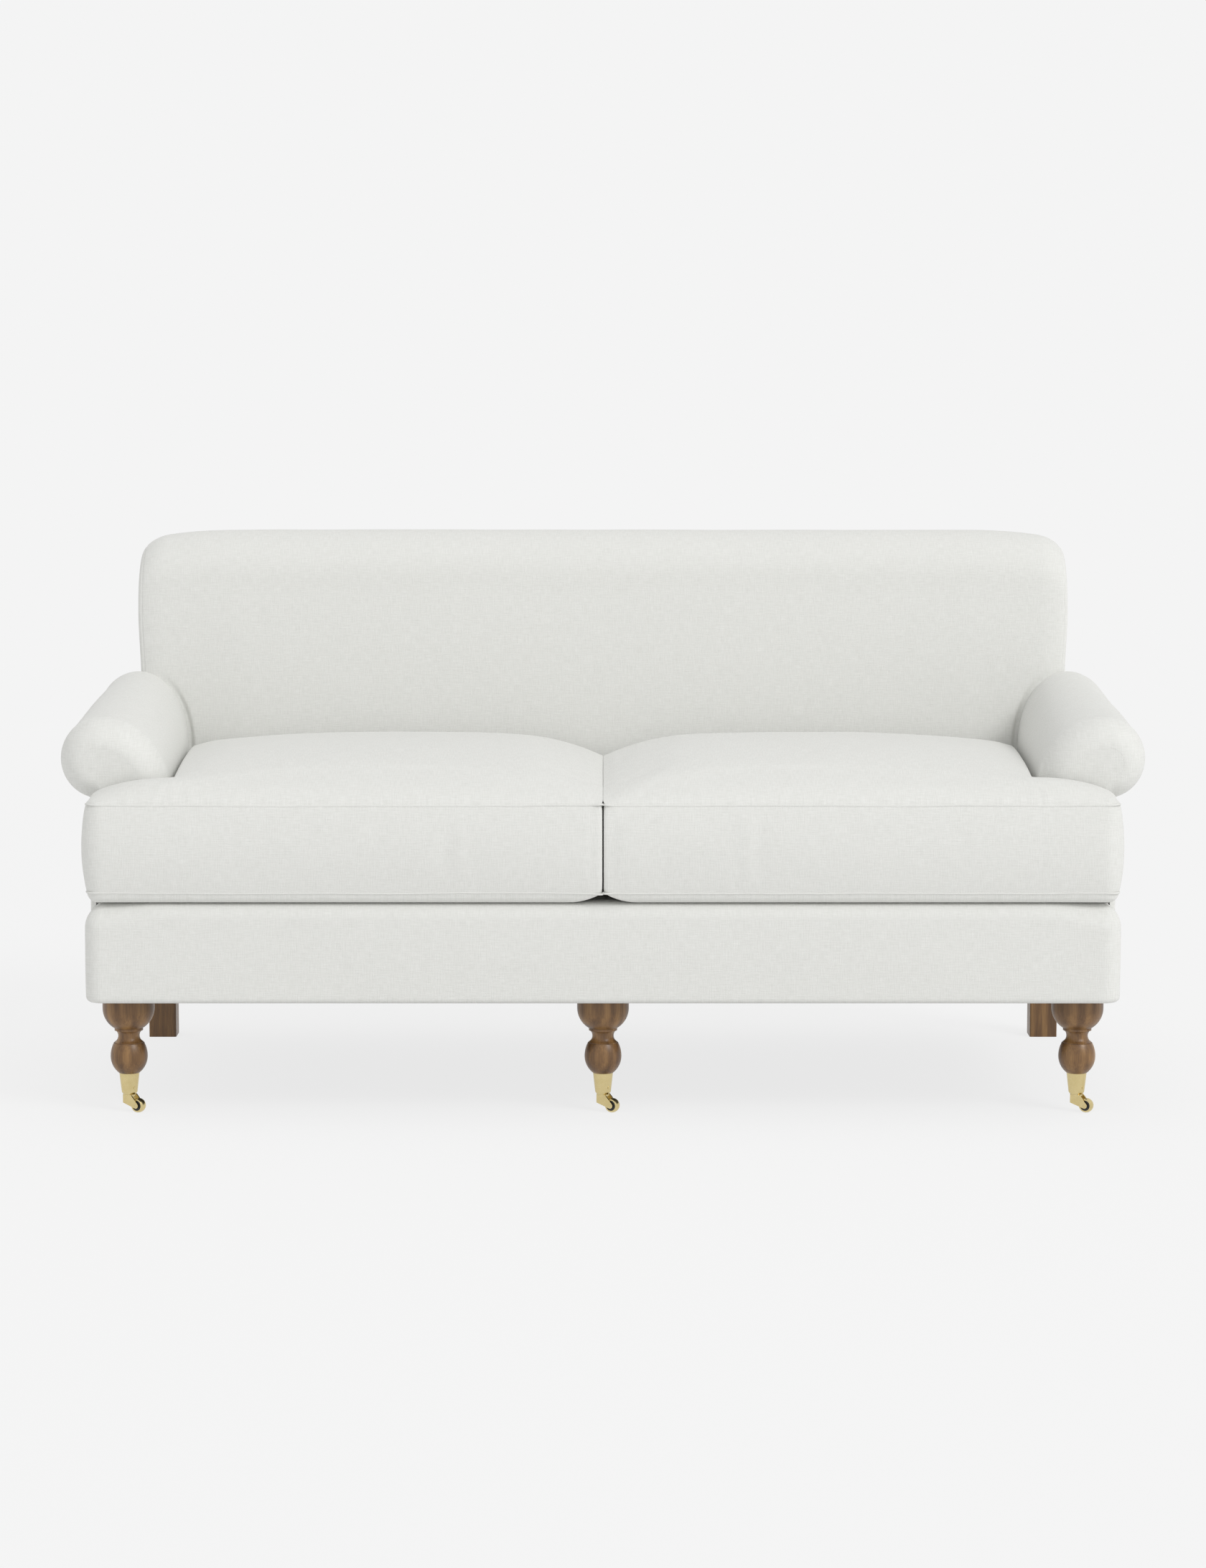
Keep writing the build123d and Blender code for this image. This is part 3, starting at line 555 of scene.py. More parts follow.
def wood_material(name, dark, mid, light, rough, coat, grain=(1.0, 1.0, 0.11)):
    """Growth rings round a far axis along the grain, with streaks and fine pores."""
    material, tree, shader = blank(name)
    place = node(tree, "ShaderNodeTexCoord").outputs["Object"]
    wander = noise_of(tree, place, 9.0, 2.0, grain)
    far_axis = {"Vector": place, "Location": (0.31, 0.52, 0.0), "Scale": grain}
    shifted = node(tree, "ShaderNodeMapping", far_axis).outputs[0]
    offset = node(tree, "ShaderNodeVectorMath", {0: wander, "Scale": 0.05}, operation="SCALE").outputs[0]
    moved = node(tree, "ShaderNodeVectorMath", {0: shifted, 1: offset}, operation="ADD").outputs[0]
    rings = node(
        tree,
        "ShaderNodeTexWave",
        {"Vector": moved, "Scale": 15.0, "Distortion": 3.5, "Detail": 3.0, "Detail Scale": 1.6},
        wave_type="RINGS",
        rings_direction="Z",
        wave_profile="SIN",
    ).outputs["Fac"]
    pores = noise_of(tree, place, 1.0, 2.0, (620.0, 620.0, 26.0))
    streaks = noise_of(tree, place, 75.0, 3.0, grain)
    tone = blend(tree, (rings, 0.16), (streaks, 0.62), (pores, 0.30))
    colour = ramp(tree, tone, [(0.30, dark), (0.52, mid), (0.78, light)])
    tree.links.new(colour, shader.inputs["Base Color"])
    gloss = math_node(tree, "ADD", math_node(tree, "MULTIPLY", pores, 0.18), rough - 0.09)
    tree.links.new(gloss, shader.inputs["Roughness"])
    finish_of(shader, coat=coat, coat_rough=0.25)
    bump(tree, shader, pores, 0.25, 0.0003)
    return material


def metal_material(name, dark, light, rough, brushed):
    """Metal with faint turning marks, and a duller film in patches."""
    material, tree, shader = blank(name)
    place = node(tree, "ShaderNodeTexCoord").outputs["Object"]
    film = noise_of(tree, place, 90.0, 4.0)
    marks = noise_of(tree, place, 1.0, 2.0, brushed)
    colour = ramp(tree, film, [(0.35, dark), (0.65, light)])
    tree.links.new(colour, shader.inputs["Base Color"])
    gloss = math_node(tree, "ADD", math_node(tree, "MULTIPLY", film, 0.16), rough - 0.08)
    tree.links.new(gloss, shader.inputs["Roughness"])
    finish_of(shader, metal=1.0)
    bump(tree, shader, marks, 0.05, 0.0001)
    return material


def plain_material(name, dark, light, rough, scale, relief):
    """A dull material with a grain of its own."""
    material, tree, shader = blank(name)
    place = node(tree, "ShaderNodeTexCoord").outputs["Object"]
    grain = noise_of(tree, place, scale, 4.0)
    colour = ramp(tree, grain, [(0.3, dark), (0.7, light)])
    tree.links.new(colour, shader.inputs["Base Color"])
    finish_of(shader, rough=rough)
    bump(tree, shader, grain, 0.4, relief)
    return material


makers = {
    "linen": (cloth_material, (0.672, 0.674, 0.643), (0.794, 0.796, 0.770)),
    "walnut": (wood_material, (0.076, 0.034, 0.011), (0.178, 0.09, 0.031), (0.34, 0.188, 0.068), 0.40, 0.12),
    "frame_wood": (wood_material, (0.34, 0.22, 0.12), (0.52, 0.37, 0.22), (0.66, 0.50, 0.32), 0.75, 0.0),
    "brass": (metal_material, (0.66, 0.54, 0.27), (0.71, 0.59, 0.31), 0.25, (160.0, 160.0, 2600.0)),
    "zinc_steel": (metal_material, (0.52, 0.53, 0.55), (0.64, 0.65, 0.67), 0.35, (900.0, 900.0, 900.0)),
    "black_plastic": (plain_material, (0.012, 0.012, 0.013), (0.022, 0.022, 0.023), 0.45, 900.0, 0.00005),
    "lining": (plain_material, (0.55, 0.52, 0.45), (0.66, 0.63, 0.56), 0.95, 700.0, 0.0004),
    "foam": (plain_material, (0.70, 0.66, 0.52), (0.82, 0.78, 0.63), 0.95, 500.0, 0.0006),
    "black_cambric": (plain_material, (0.014, 0.014, 0.015), (0.030, 0.030, 0.031), 0.9, 1200.0, 0.0003),
}
by_slot = {slot: make(slot, *values) for slot, (make, *values) in makers.items()}
for part in frame["record"]["subparts"]:
    shown = frame["nodes"][part["node"]]
    for holder in shown.material_slots:
        holder.material = by_slot[part["material_slot"]]


# Seat cushions

def to_notch(x, y):
    """Distance from the inner corner and edges behind a cushion's ear."""
    return np.hypot(np.maximum(CUSHION_OUTER - x, 0), np.maximum(EAR_REAR - y, 0))


def crown_height(x, y):
    """Height of a right-hand cushion's top over its upper seam."""
    from_front = y - FRONT
    from_rear = CUSHION_REAR - y
    half_depth = (CUSHION_REAR - FRONT) / 2
    half_width = (CUSHION_OUTER - CUSHION_INNER) / 2
    centre_x = CUSHION_INNER + half_width
    bow = np.clip(1 - ((x - centre_x) / half_width) ** 2, 0, 1)
    front_rise = arch(from_front / half_depth) ** CROWN_POWER
    rear_rise = REAR_CROWN + (1 - REAR_CROWN) * arch(from_rear / half_depth) ** REAR_CROWN_POWER
    full = CROWN * np.where(from_front < half_depth, front_rise, rear_rise)
    at_side = np.minimum(SIDE_CROWN, full)
    fall = (1 - np.exp(-(x - CUSHION_INNER) / GAP_FALL)) / (1 - math.exp(-half_width / GAP_FALL))
    to_gap = full * (GAP_CROWN + (1 - GAP_CROWN) * fall)
    to_side = at_side + (full - at_side) * bow**SIDE_CROWN_POWER
    body = np.where(x < centre_x, to_gap, to_side)
    share = np.clip((x - CUSHION_OUTER) / (EAR_X - CUSHION_OUTER), 0, 1)
    rise = arch(from_front / (EAR_REAR - FRONT)) ** CROWN_POWER
    ear = EAR_CROWN * np.sqrt(np.clip(np.cos(np.pi / 2 * share), 0, 1)) * rise
    to_ear = smooth((x - CUSHION_OUTER + EAR_BLEND_X) / EAR_BLEND_X)
    to_ear = to_ear * smooth((EAR_REAR + EAR_BLEND_START - y) / EAR_BLEND_Y)
    pressed = quarter(np.minimum(from_rear, to_notch(x, y)) / PRESSED_ROLL)
    pressed = pressed * quarter((x - CUSHION_INNER) / GAP_ROLL)
    return (body + (ear - body) * to_ear) * pressed


def rounded(x, y, corner_x, corner_y, side_x, side_y, radius):
    """Plan points with one outer corner drawn to a round."""
    a = 1 - (corner_x - x) * side_x / radius
    b = 1 - (corner_y - y) * side_y / radius
    near = (a > 0) & (b > 0)
    new_x = corner_x - side_x * radius * (1 - a * np.sqrt(np.clip(1 - b * b / 2, 0, 1)))
    new_y = corner_y - side_y * radius * (1 - b * np.sqrt(np.clip(1 - a * a / 2, 0, 1)))
    return np.where(near, new_x, x), np.where(near, new_y, y)


def cushion_plan(x, y):
    """The cushion's plan with its corners rounded."""
    x, y = rounded(x, y, CUSHION_INNER, FRONT, -1, -1, GAP_CORNER)
    x, y = rounded(x, y, EAR_X, FRONT, 1, -1, EAR_FRONT_CORNER)
    x, y = rounded(x, y, EAR_X, EAR_REAR, 1, 1, EAR_REAR_CORNER)
    x, y = rounded(x, y, CUSHION_OUTER, CUSHION_REAR, 1, 1, REAR_CORNER)
    x, y = rounded(x, y, CUSHION_INNER, CUSHION_REAR, -1, 1, REAR_CORNER)
    wider = 1 + CUSHION_SPREAD * np.maximum(0, y - EAR_REAR)
    return CUSHION_INNER + (x - CUSHION_INNER) * wider, y


def cushion_sheet():
    """The T-shaped sheet of a right-hand cushion: grid, faces, the points they use and the edge loop."""
    gap_x = CUSHION_INNER + GAP_FINE * np.linspace(0, 1, 13) ** 1.6
    body_x = np.concatenate([gap_x[:-1], graded(gap_x[-1], CUSHION_OUTER, 112)])
    ear_x = graded(CUSHION_OUTER, EAR_X, 30)
    front_y = graded(FRONT, EAR_REAR, 24, share=0.6)
    rest_y = graded(EAR_REAR, CUSHION_REAR, 76)
    xs = np.concatenate([body_x, ear_x[1:]])
    ys = np.concatenate([front_y, rest_y[1:]])
    side, step = len(body_x) - 1, len(front_y) - 1
    last_x, last_y = len(xs) - 1, len(ys) - 1
    x, y = np.meshgrid(xs, ys, indexing="ij")

    number = np.arange(x.size).reshape(x.shape)
    corners = np.stack([number[:-1, :-1], number[1:, :-1], number[1:, 1:], number[:-1, 1:]], -1)
    kept = (np.arange(last_x)[:, None] < side) | (np.arange(last_y)[None, :] < step)
    faces = corners[kept]
    used = np.unique(faces)
    renumber = np.full(x.size, -1)
    renumber[used] = np.arange(len(used))

    loop = [(i, 0) for i in range(last_x)]
    loop += [(last_x, j) for j in range(step)]
    loop += [(i, step) for i in range(last_x, side, -1)]
    loop += [(side, j) for j in range(step, last_y)]
    loop += [(i, last_y) for i in range(side, 0, -1)]
    loop += [(0, j) for j in range(last_y, 0, -1)]
    return x, y, renumber[faces], used, tuple(np.array(loop).T)


def cushion_top(x, y, plan_x, plan_y, seed):
    crown = crown_height(x, y)
    place = np.stack([x, y, np.zeros_like(x)], -1)
    wander = slack(place, seed, TOP_SLACK) * smooth(crown / TOP_SLACK_RISE)
    from_front = y - FRONT
    pucker = TOP_PUCKER * puckers(x, place, TOP_PUCKER_PITCH, TOP_PUCKER_SIZE, seed + 2)
    pucker = pucker * np.exp(-from_front / TOP_PUCKER_REACH) * smooth(from_front / TOP_PUCKER_START)
    fading = GAP_SWELL * np.exp(-(x - CUSHION_INNER) / GAP_SWELL_FALL)
    swell = np.minimum(x - GAP_LINE, fading) * smooth(crown / GAP_SWELL_RISE)
    return np.stack([plan_x - swell, plan_y, SEAM_HIGH + crown + wander + pucker], -1)


def cushion_under(x, y, plan_x, plan_y):
    """The underside, turned up to the lower seam, with a notch in front beside the gap."""
    inside = np.minimum.reduce([y - FRONT, CUSHION_REAR - y, EAR_X - x, to_notch(x, y)])
    from_gap = x - CUSHION_INNER
    gap_turn = quarter(from_gap / UNDER_TURN)
    corner_turn = arch(from_gap / NOTCH_WIDTH)
    gap_turn = gap_turn + (corner_turn - gap_turn) * smooth((FRONT + NOTCH_DEPTH - y) / NOTCH_FADE)
    turned = np.minimum(quarter(np.clip(inside, 0, 1) / UNDER_TURN), gap_turn)
    return np.stack([plan_x, plan_y, SEAM_LOW - (SEAM_LOW - CUSHION_BOTTOM) * turned], -1)


def along_loop(values, places, total, width):
    """Values round a closed loop, averaged over a width."""
    apart = np.abs(places[:, None] - places[None, :])
    apart = np.minimum(apart, total - apart)
    weight = np.exp(-((apart / width) ** 2))
    return (weight @ values) / weight.sum(1)


def bell(distance, width):
    return np.exp(-((distance / width) ** 2))


def cushion_boxing(ring, seed):
    """The boxing between the seams along a cushion's edge loop, and the welts on both seams."""
    steps = np.linalg.norm(np.roll(ring, -1, 0) - ring, axis=1)
    total = steps.sum()
    places = np.concatenate([[0.0], np.cumsum(steps)[:-1]])
    tangent = np.roll(ring, -1, 0) - np.roll(ring, 1, 0)
    out = np.stack([tangent[:, 1], -tangent[:, 0], np.zeros(len(ring))], -1)
    out /= np.maximum(np.linalg.norm(out, axis=1, keepdims=True), 1e-12)
    out = np.stack([along_loop(out[:, k], places, total, TURN_BLEND) for k in range(3)], -1)
    out /= np.linalg.norm(out, axis=1, keepdims=True)

    at_front = ring[:, 1] < FRONT + FREE_EDGE
    at_ear = ring[:, 0] > EAR_X - FREE_EDGE
    bulge = np.where(at_ear, EAR_BULGE, np.where(at_front, FRONT_BULGE, PRESSED_BULGE))
    bulge = along_loop(bulge, places, total, BULGE_BLEND)
    free = along_loop((at_front | at_ear).astype(float), places, total, FREE_BLEND)

    drop = np.linspace(0, 1, 21)
    middle = np.sin(np.pi * drop)[:, None]
    height = SEAM_HIGH + (SEAM_LOW - SEAM_HIGH) * drop
    wall = ring[None] + out[None] * (bulge[None] * middle**BULGE_POWER)[..., None]
    wall[..., 2] = height[:, None]
    wall_at = np.stack(np.broadcast_arrays(places[None], 0 * places[None], height[:, None]), -1)
    near_low = np.exp(-(height - SEAM_LOW) / WALL_PUCKER_REACH)
    near_high = np.exp(-(SEAM_HIGH - height) / WALL_PUCKER_REACH)
    near_seam = near_low + near_high
    gathers = WALL_PUCKER * puckers(places, ring, WALL_PUCKER_PITCH, WALL_PUCKER_SIZE, seed + 5)
    hollow = HOLLOW_SHARE * bell(ring[:, 0] - HOLLOW_X, HOLLOW_WIDTH)
    crease = bell(ring[:, 0] - CREASE_X, CREASE_WIDTH) - hollow
    uneven = slack(wall_at, seed + 3, WALL_SLACK) + gathers[None] * near_seam[:, None]
    uneven = uneven + CREASE_HEIGHT * (crease * at_front)[None] * middle
    wall = wall + out[None] * (uneven * middle**0.5 * free[None])[..., None]
    wall[..., 0] = np.maximum(wall[..., 0], GAP_WALL)
    wall = np.concatenate([wall, wall[:, :1]], 1)
    patches = [grid(wall, pair(np.append(places, total)[None], height[:, None]))]

    ear_corner = np.hypot(ring[:, 0] - EAR_X, ring[:, 1] - FRONT)
    gap_corner = np.hypot(ring[:, 0] - CUSHION_INNER, ring[:, 1] - FRONT)
    corner = bell(ear_corner, EAR_POINT_SIZE) + bell(gap_corner, GAP_POINT_SIZE)
    for level, lift, sunk in ((SEAM_HIGH, 1.0, WELT_SUNK_HIGH), (SEAM_LOW, -0.5, WELT_SUNK_LOW)):
        wavy = sum(depth * soft_noise(ring, size, seed + k + lift) for k, depth, size in WELT_SLACK)
        path = ring + out * (WELT_POINT * corner * free - sunk)[:, None]
        path[:, 2] = level + (wavy + WELT_LIFT * lift * corner) * free
        patches.append(tube(path, out, WELT_RADIUS))
    return patches


def cushion_patches(seed):
    """Top, underside, boxing and welts of a right-hand cushion."""
    x, y, faces, used, edge = cushion_sheet()
    plan_x, plan_y = cushion_plan(x, y)
    ring = np.stack([plan_x[edge], plan_y[edge], np.zeros(len(edge[0]))], -1)
    top = cushion_top(x, y, plan_x, plan_y, seed)
    under = cushion_under(x, y, plan_x, plan_y)
    cloth = np.stack([x, y], -1).reshape(-1, 2)[used]
    patches = []
    for sheet, level in ((top, SEAM_HIGH), (under, SEAM_LOW)):
        sheet[edge] = ring + [0.0, 0.0, level]
        patches.append((sheet.reshape(-1, 3)[used], faces, cloth))
    return patches + cushion_boxing(ring, seed)


def cushion_holds(points):
    """How firmly a cushion's points are held: its seams, underside and pressed sides are held fast."""
    x, y, z = np.abs(points[:, 0]), points[:, 1], points[:, 2]
    x = CUSHION_INNER + (x - CUSHION_INNER) / (1 + CUSHION_SPREAD * np.maximum(0, y - EAR_REAR))
    to_pressed = np.minimum.reduce([x - CUSHION_INNER, CUSHION_REAR - y, to_notch(x, y)])
    to_seam = np.minimum(np.abs(z - SEAM_HIGH), np.abs(z - SEAM_LOW))
    at_seam = 1 - smooth((to_seam - HELD_SEAM) / HELD_SEAM_FADE)
    held = np.maximum(1 - smooth(to_pressed / HELD_SIDE), at_seam)
    held[z < SEAM_LOW + HELD_SEAM] = 1
    return np.round(held, 1)


for side, patches in both_sides(cushion_patches, (3, 11)):
    solid = "seat_cushion_" + side
    cover("cushion_cover_" + side, patches, "cushion_" + side, solid, cushion_holds)


# Arms

def roll_axis(y):
    return ROLL_AXIS + ROLL_SLOPE * (y - ARM_FRONT)


def arm_inside(y):
    return HALF_WIDTH - ARM_WALL - ARM_FLARE * (ARM_REAR - y) / (ARM_REAR - ARM_FRONT)


def outside_arm(points):
    """About how far points stand off an arm's surface, where it runs into the back."""
    x, y, z = np.abs(points[..., 0]), points[..., 1], points[..., 2]
    axis = roll_axis(y)
    reach = ROLL_X - arm_inside(y)
    rise = SHOULDER + ROLL_RADIUS
    across = np.maximum(ROLL_X - x, 0) / reach
    up = np.maximum(z - axis + SHOULDER, 0) / rise
    inside = (np.hypot(across, up) - 1) * reach
    return np.where(x < ROLL_X, inside, np.hypot(x - ROLL_X, z - axis) - ROLL_RADIUS)


def arm_section(y, inset):
    """Points round an arm at one place along it, inset from its full size, from the inside wall's foot."""
    radius = ROLL_RADIUS - inset
    inner = arm_inside(y) + inset
    axis = roll_axis(y)
    shoulder = axis - SHOULDER
    top = axis + radius
    wall_z = np.linspace(BASE_TOP, shoulder, WALL_POINTS + 1)[:-1]
    turn = np.linspace(0, np.pi / 2, SHOULDER_POINTS + 1)[:-1]
    fillet_x = RAIL_OUTER + ROLL_FILLET
    fillet_z = axis - math.sqrt((radius + ROLL_FILLET) ** 2 - (fillet_x - ROLL_X) ** 2)
    meet = math.atan2(fillet_z - axis, fillet_x - ROLL_X)
    roll = np.linspace(np.pi / 2, meet, 60)
    under = np.linspace(meet + np.pi, np.pi, 12)[1:]
    parts = [
        (np.full(WALL_POINTS, inner), wall_z),
        (ROLL_X - (ROLL_X - inner) * np.cos(turn), shoulder + (top - shoulder) * np.sin(turn)),
        (ROLL_X + radius * np.cos(roll), axis + radius * np.sin(roll)),
        (fillet_x + ROLL_FILLET * np.cos(under), fillet_z + ROLL_FILLET * np.sin(under)),
        ([RAIL_OUTER, inner], [BASE_TOP, BASE_TOP]),
    ]
    x, z = (np.concatenate(values) for values in zip(*parts))
    return np.stack([x, np.full_like(x, y), z], -1)


def arm_patches(seed):
    """Roll with its inside wall, the domed front and the rear end of a right-hand arm."""
    seam = ARM_FRONT + DOME
    tail = ARM_REAR - DOME
    rows = graded(seam, tail, 70, share=0.5)
    roll = np.stack([arm_section(y, 0.0) for y in rows])
    amount = slack(roll, seed, ARM_SLACK)
    amount *= (smooth((rows - seam) / ARM_SLACK_FADE) * smooth((tail - rows) / ARM_SLACK_FADE))[:, None]
    amount[:, -3:] = 0
    roll = roll + outward(roll) * amount[..., None]
    patches = [grid(roll, pair(run(roll, 1), rows[:, None]))]

    for edge, way, first in ((ARM_FRONT, 1, roll[0]), (ARM_REAR, -1, roll[-1])):
        turns = np.linspace(np.pi / 2, 0, 30)
        places = [(edge + way * DOME * (1 - math.cos(t)), DOME_INSET * (1 - math.sin(t))) for t in turns]
        dome = np.stack([arm_section(y, inset) for y, inset in places])
        dome[0] = first
        inside = spaced(dome[-1][: CREST + 1], 60)
        outside = spaced(dome[-1][CREST:-1][::-1], 60)
        face = between(inside, outside, 24)
        patches.append(grid(dome, dome[..., [0, 2]]))
        patches.append(grid(face, face[..., [0, 2]]))
    return patches


for side, patches in both_sides(arm_patches, (21, 27)):
    cover("arm_cover_" + side, patches, "frame", "arm_pad_" + side)


# Back

def lean(z):
    return np.maximum(0.0, z - BACK_KNEE) * BACK_LEAN / (BACK_ROLL_START - BACK_KNEE)


def back_face(z):
    return BACK_FRONT + BACK_RAKE * (z - BASE_TOP) / (BACK_ROLL_START - BASE_TOP)


def evened(line, count):
    """A polyline with its bends softened and its points evenly spread."""
    length = run(line[:, None, :], 0)[-1, 0]
    line = spaced(line, BACK_STEPS)
    reach = int(BACK_SOFTNESS / (length / BACK_STEPS))
    kernel = np.hanning(2 * reach + 1)
    kernel /= kernel.sum()
    padded = np.concatenate([2 * line[:1] - line[reach:0:-1], line, 2 * line[-1:] - line[-2:-reach - 2:-1]])
    line = np.stack([np.convolve(padded[:, k], kernel, "valid") for k in range(line.shape[1])], -1)
    at = np.linspace(0, BACK_STEPS - 1, count)
    return np.stack([np.interp(at, np.arange(BACK_STEPS), line[:, k]) for k in range(line.shape[1])], -1)


def back_section(x):
    """Side outline of the back at one place across it, from its front foot over the top to its rear foot."""
    slope = min(1.0, max(0.0, abs(x) - (BACK_HALF - SLOPE_WIDTH)) / SLOPE_WIDTH)
    over = min(1.0, max(0.0, abs(x) - (BACK_HALF - CORNER_WIDTH)) / CORNER_WIDTH)
    drawn = 1 - math.sqrt(1 - over**2)
    drop = SLOPE_DROP * slope**SLOPE_POWER + CORNER_HEIGHT * drawn
    draw = CORNER_DRAW * drawn
    shoulder = BACK_ROLL_START - drop
    z = np.linspace(BASE_TOP, shoulder, 60)
    share = (z - BASE_TOP) / (shoulder - BASE_TOP)
    y = BACK_FRONT + draw + (back_face(shoulder) - BACK_FRONT) * share
    y = y - BACK_CROWN * (1 - BACK_CROWN_LOSS * slope) * 4 * share * (1 - share)
    rear = REAR + lean(shoulder)
    turn = np.linspace(np.pi, 0, 60)[1:-1]
    middle = (y[-1] + rear) / 2
    crest_y = middle + (rear - middle) * np.cos(turn)
    crest_z = shoulder + (BACK_TOP - BACK_ROLL_START) * np.sin(turn)
    down = np.linspace(shoulder, BASE_TOP, 60)
    bed = BACK_PANEL_BED * smooth((BACK_PANEL_TOP - BACK_PANEL_BED - down) / (2 * BACK_PANEL_BED))
    line_y = np.concatenate([y, crest_y, REAR + lean(down) - bed])
    line_z = np.concatenate([z, crest_z, down])
    line = evened(np.stack([line_y, line_z], -1), BACK_POINTS)
    return np.concatenate([np.full((BACK_POINTS, 1), x), line], 1)


def back_columns():
    """Places across the back: even in the middle, and closer by the arms, the seams and the corners."""
    flat = BACK_HALF - SLOPE_WIDTH
    seam = BACK_SEAM + np.linspace(-SEAM_REACH, SEAM_REACH, 15)
    corner = graded(flat, BACK_HALF, 60, both=False, share=0.98)
    clear = corner[(corner < seam[0] - 0.0006) | (corner > seam[-1] + 0.0003)]
    corner = np.unique(np.concatenate([clear, seam]))
    near_arm = np.linspace(flat, BACK_HALF - 0.02, 90)
    corner = np.unique(np.concatenate([near_arm, corner[corner > near_arm[-1] + 0.001]]))
    right = np.concatenate([np.linspace(0, flat, 50)[:-1], corner])
    return np.concatenate([-right[:0:-1], right])


def back_patches():
    """The back's skin with its side seams and the tucks at the arms, and its two ends."""
    xs = back_columns()
    to_end = BACK_HALF - np.abs(xs)
    body = np.stack([back_section(x) for x in xs])
    groove = SEAM_DEPTH * bell(np.abs(xs) - BACK_SEAM, SEAM_WIDTH)
    amount = slack(body, 41, BACK_SLACK) * smooth(to_end / BACK_SLACK_FADE)[:, None] - groove[:, None]
    from_rear = body[..., 1].max(1, keepdims=True) - body[..., 1]
    at_front = smooth((from_rear - TUCK_FRONT) / TUCK_FRONT_FADE)
    at_front = at_front * smooth((to_end - TUCK_EDGE) / TUCK_FADE)[:, None]
    tuck = bell(np.maximum(outside_arm(body), 0), TUCK_WIDTH)
    amount = amount - TUCK_DEPTH * tuck * at_front
    body = body + outward(body) * amount[..., None]
    cloth = pair(xs[:, None], run(body, 1))
    body[..., 0] *= 1 - WAIST_DRAW * smooth((WAIST_TOP - body[..., 2]) / WAIST_FADE)
    patches = [grid(body, cloth)]
    half = BACK_POINTS // 2
    share = np.linspace(0, 1, 40)
    for column, way in ((body[0], -1), (body[-1], 1)):
        front_half = column[: half + 1]
        rear_half = column[::-1][: half + 1]
        cap = between(front_half, rear_half, len(share))
        thick = np.linalg.norm(rear_half - front_half, axis=1)
        full = smooth(thick / END_DOME_RISE)[:, None]
        cap[..., 0] += way * END_DOME * np.sin(np.pi * share)[None] ** END_DOME_POWER * full
        patches.append(grid(cap, cap[..., [1, 2]]))
    return patches


cover("back_cover", back_patches(), "frame", "back_pad")


# Outside panels and the base's border

def panel(points, direction, seed):
    """A padded panel over a grid of points: rounded at its edges, closed behind."""
    u = run(points, 0)
    v = run(points, 1)
    to_edge = np.minimum.reduce([u, u[-1:] - u, v, v[:, -1:] - v])
    share_u = u / u[-1:]
    share_v = v / v[:, -1:]
    swell = 16 * share_u * (1 - share_u) * share_v * (1 - share_v)
    amount = PANEL_DEPTH * quarter(to_edge / PANEL_EDGE) + PANEL_DOME * swell
    amount = amount + slack(points, seed, PANEL_SLACK) * smooth(to_edge / PANEL_SLACK_FADE)
    face = points + np.array(direction, float) * amount[..., None]
    return [grid(face, pair(v, u)), grid(points, pair(v, u))]


def outside_arm_patches(seed):
    us = graded(0, 1, 90, share=0.85)[:, None]
    vs = graded(0, 1, 60, share=0.85)[None, :]
    along = ARM_FRONT + PANEL_GAP + (REAR - ARM_FRONT - 2 * PANEL_GAP) * us
    low = BASE_BOTTOM + PANEL_GAP
    high = roll_axis(along) - ROLL_RADIUS + SIDE_PANEL_LAP
    z = low + (high - low) * vs
    points = np.stack([np.full_like(z, HALF_WIDTH - SIDE_PANEL_SUNK), along + lean(z) * us, z], -1)
    return panel(points, (1, 0, 0), seed)


for side, patches in both_sides(outside_arm_patches, (51, 55)):
    cover("outside_arm_cover_" + side, patches, "frame", "outside_arm_" + side)


def outside_back_patches():
    xs = graded(-BACK_PANEL_HALF, BACK_PANEL_HALF, 140, share=0.85)
    zs = graded(BASE_BOTTOM + PANEL_GAP, BACK_PANEL_TOP, 80, share=0.85)
    x, z = np.meshgrid(xs, zs, indexing="ij")
    points = np.stack([x, REAR - BACK_PANEL_SUNK + lean(z), z], -1)
    return panel(points, (0, 1, 0), 61)


cover("outside_back_cover", outside_back_patches(), "frame", "outside_back")


def border_path():
    """The border's outer line in plan, from its right end round both corners to its left end."""
    radius = BORDER_CORNER
    end = ARM_FRONT - BORDER_GAP
    side_line = np.stack([np.full(24, HALF_WIDTH), np.linspace(end, FRONT + radius, 24)], -1)
    turn = np.linspace(0, np.pi / 2, 22)
    bend = np.stack([HALF_WIDTH - radius + radius * np.cos(turn), FRONT + radius - radius * np.sin(turn)], -1)
    front = np.stack([np.linspace(HALF_WIDTH - radius, 0, 110), np.full(110, FRONT)], -1)
    right = np.concatenate([side_line[:-1], bend[:-1], front])
    return np.concatenate([right, (right * [-1, 1])[-2::-1]])


def border_profile(large):
    """The border's section as depth and height, with a small round at its foot and a large one at its top."""
    small = BORDER_FOOT
    low = np.linspace(-np.pi / 2, 0, 9)
    high = np.linspace(0, np.pi / 2, 14)
    foot = BASE_BOTTOM + small + small * np.sin(low)
    upright = np.linspace(BASE_BOTTOM + small, BASE_TOP - large, 18)[1:-1]
    head = BASE_TOP - large + large * np.sin(high)
    round_in = [small - small * np.cos(low), np.zeros(len(upright)), large - large * np.cos(high)]
    depth = np.concatenate([[BORDER_DEPTH], *round_in, [BORDER_DEPTH]])
    z = np.concatenate([[BASE_BOTTOM], foot, upright, head, [BASE_TOP]])
    return np.stack([depth, z], -1)


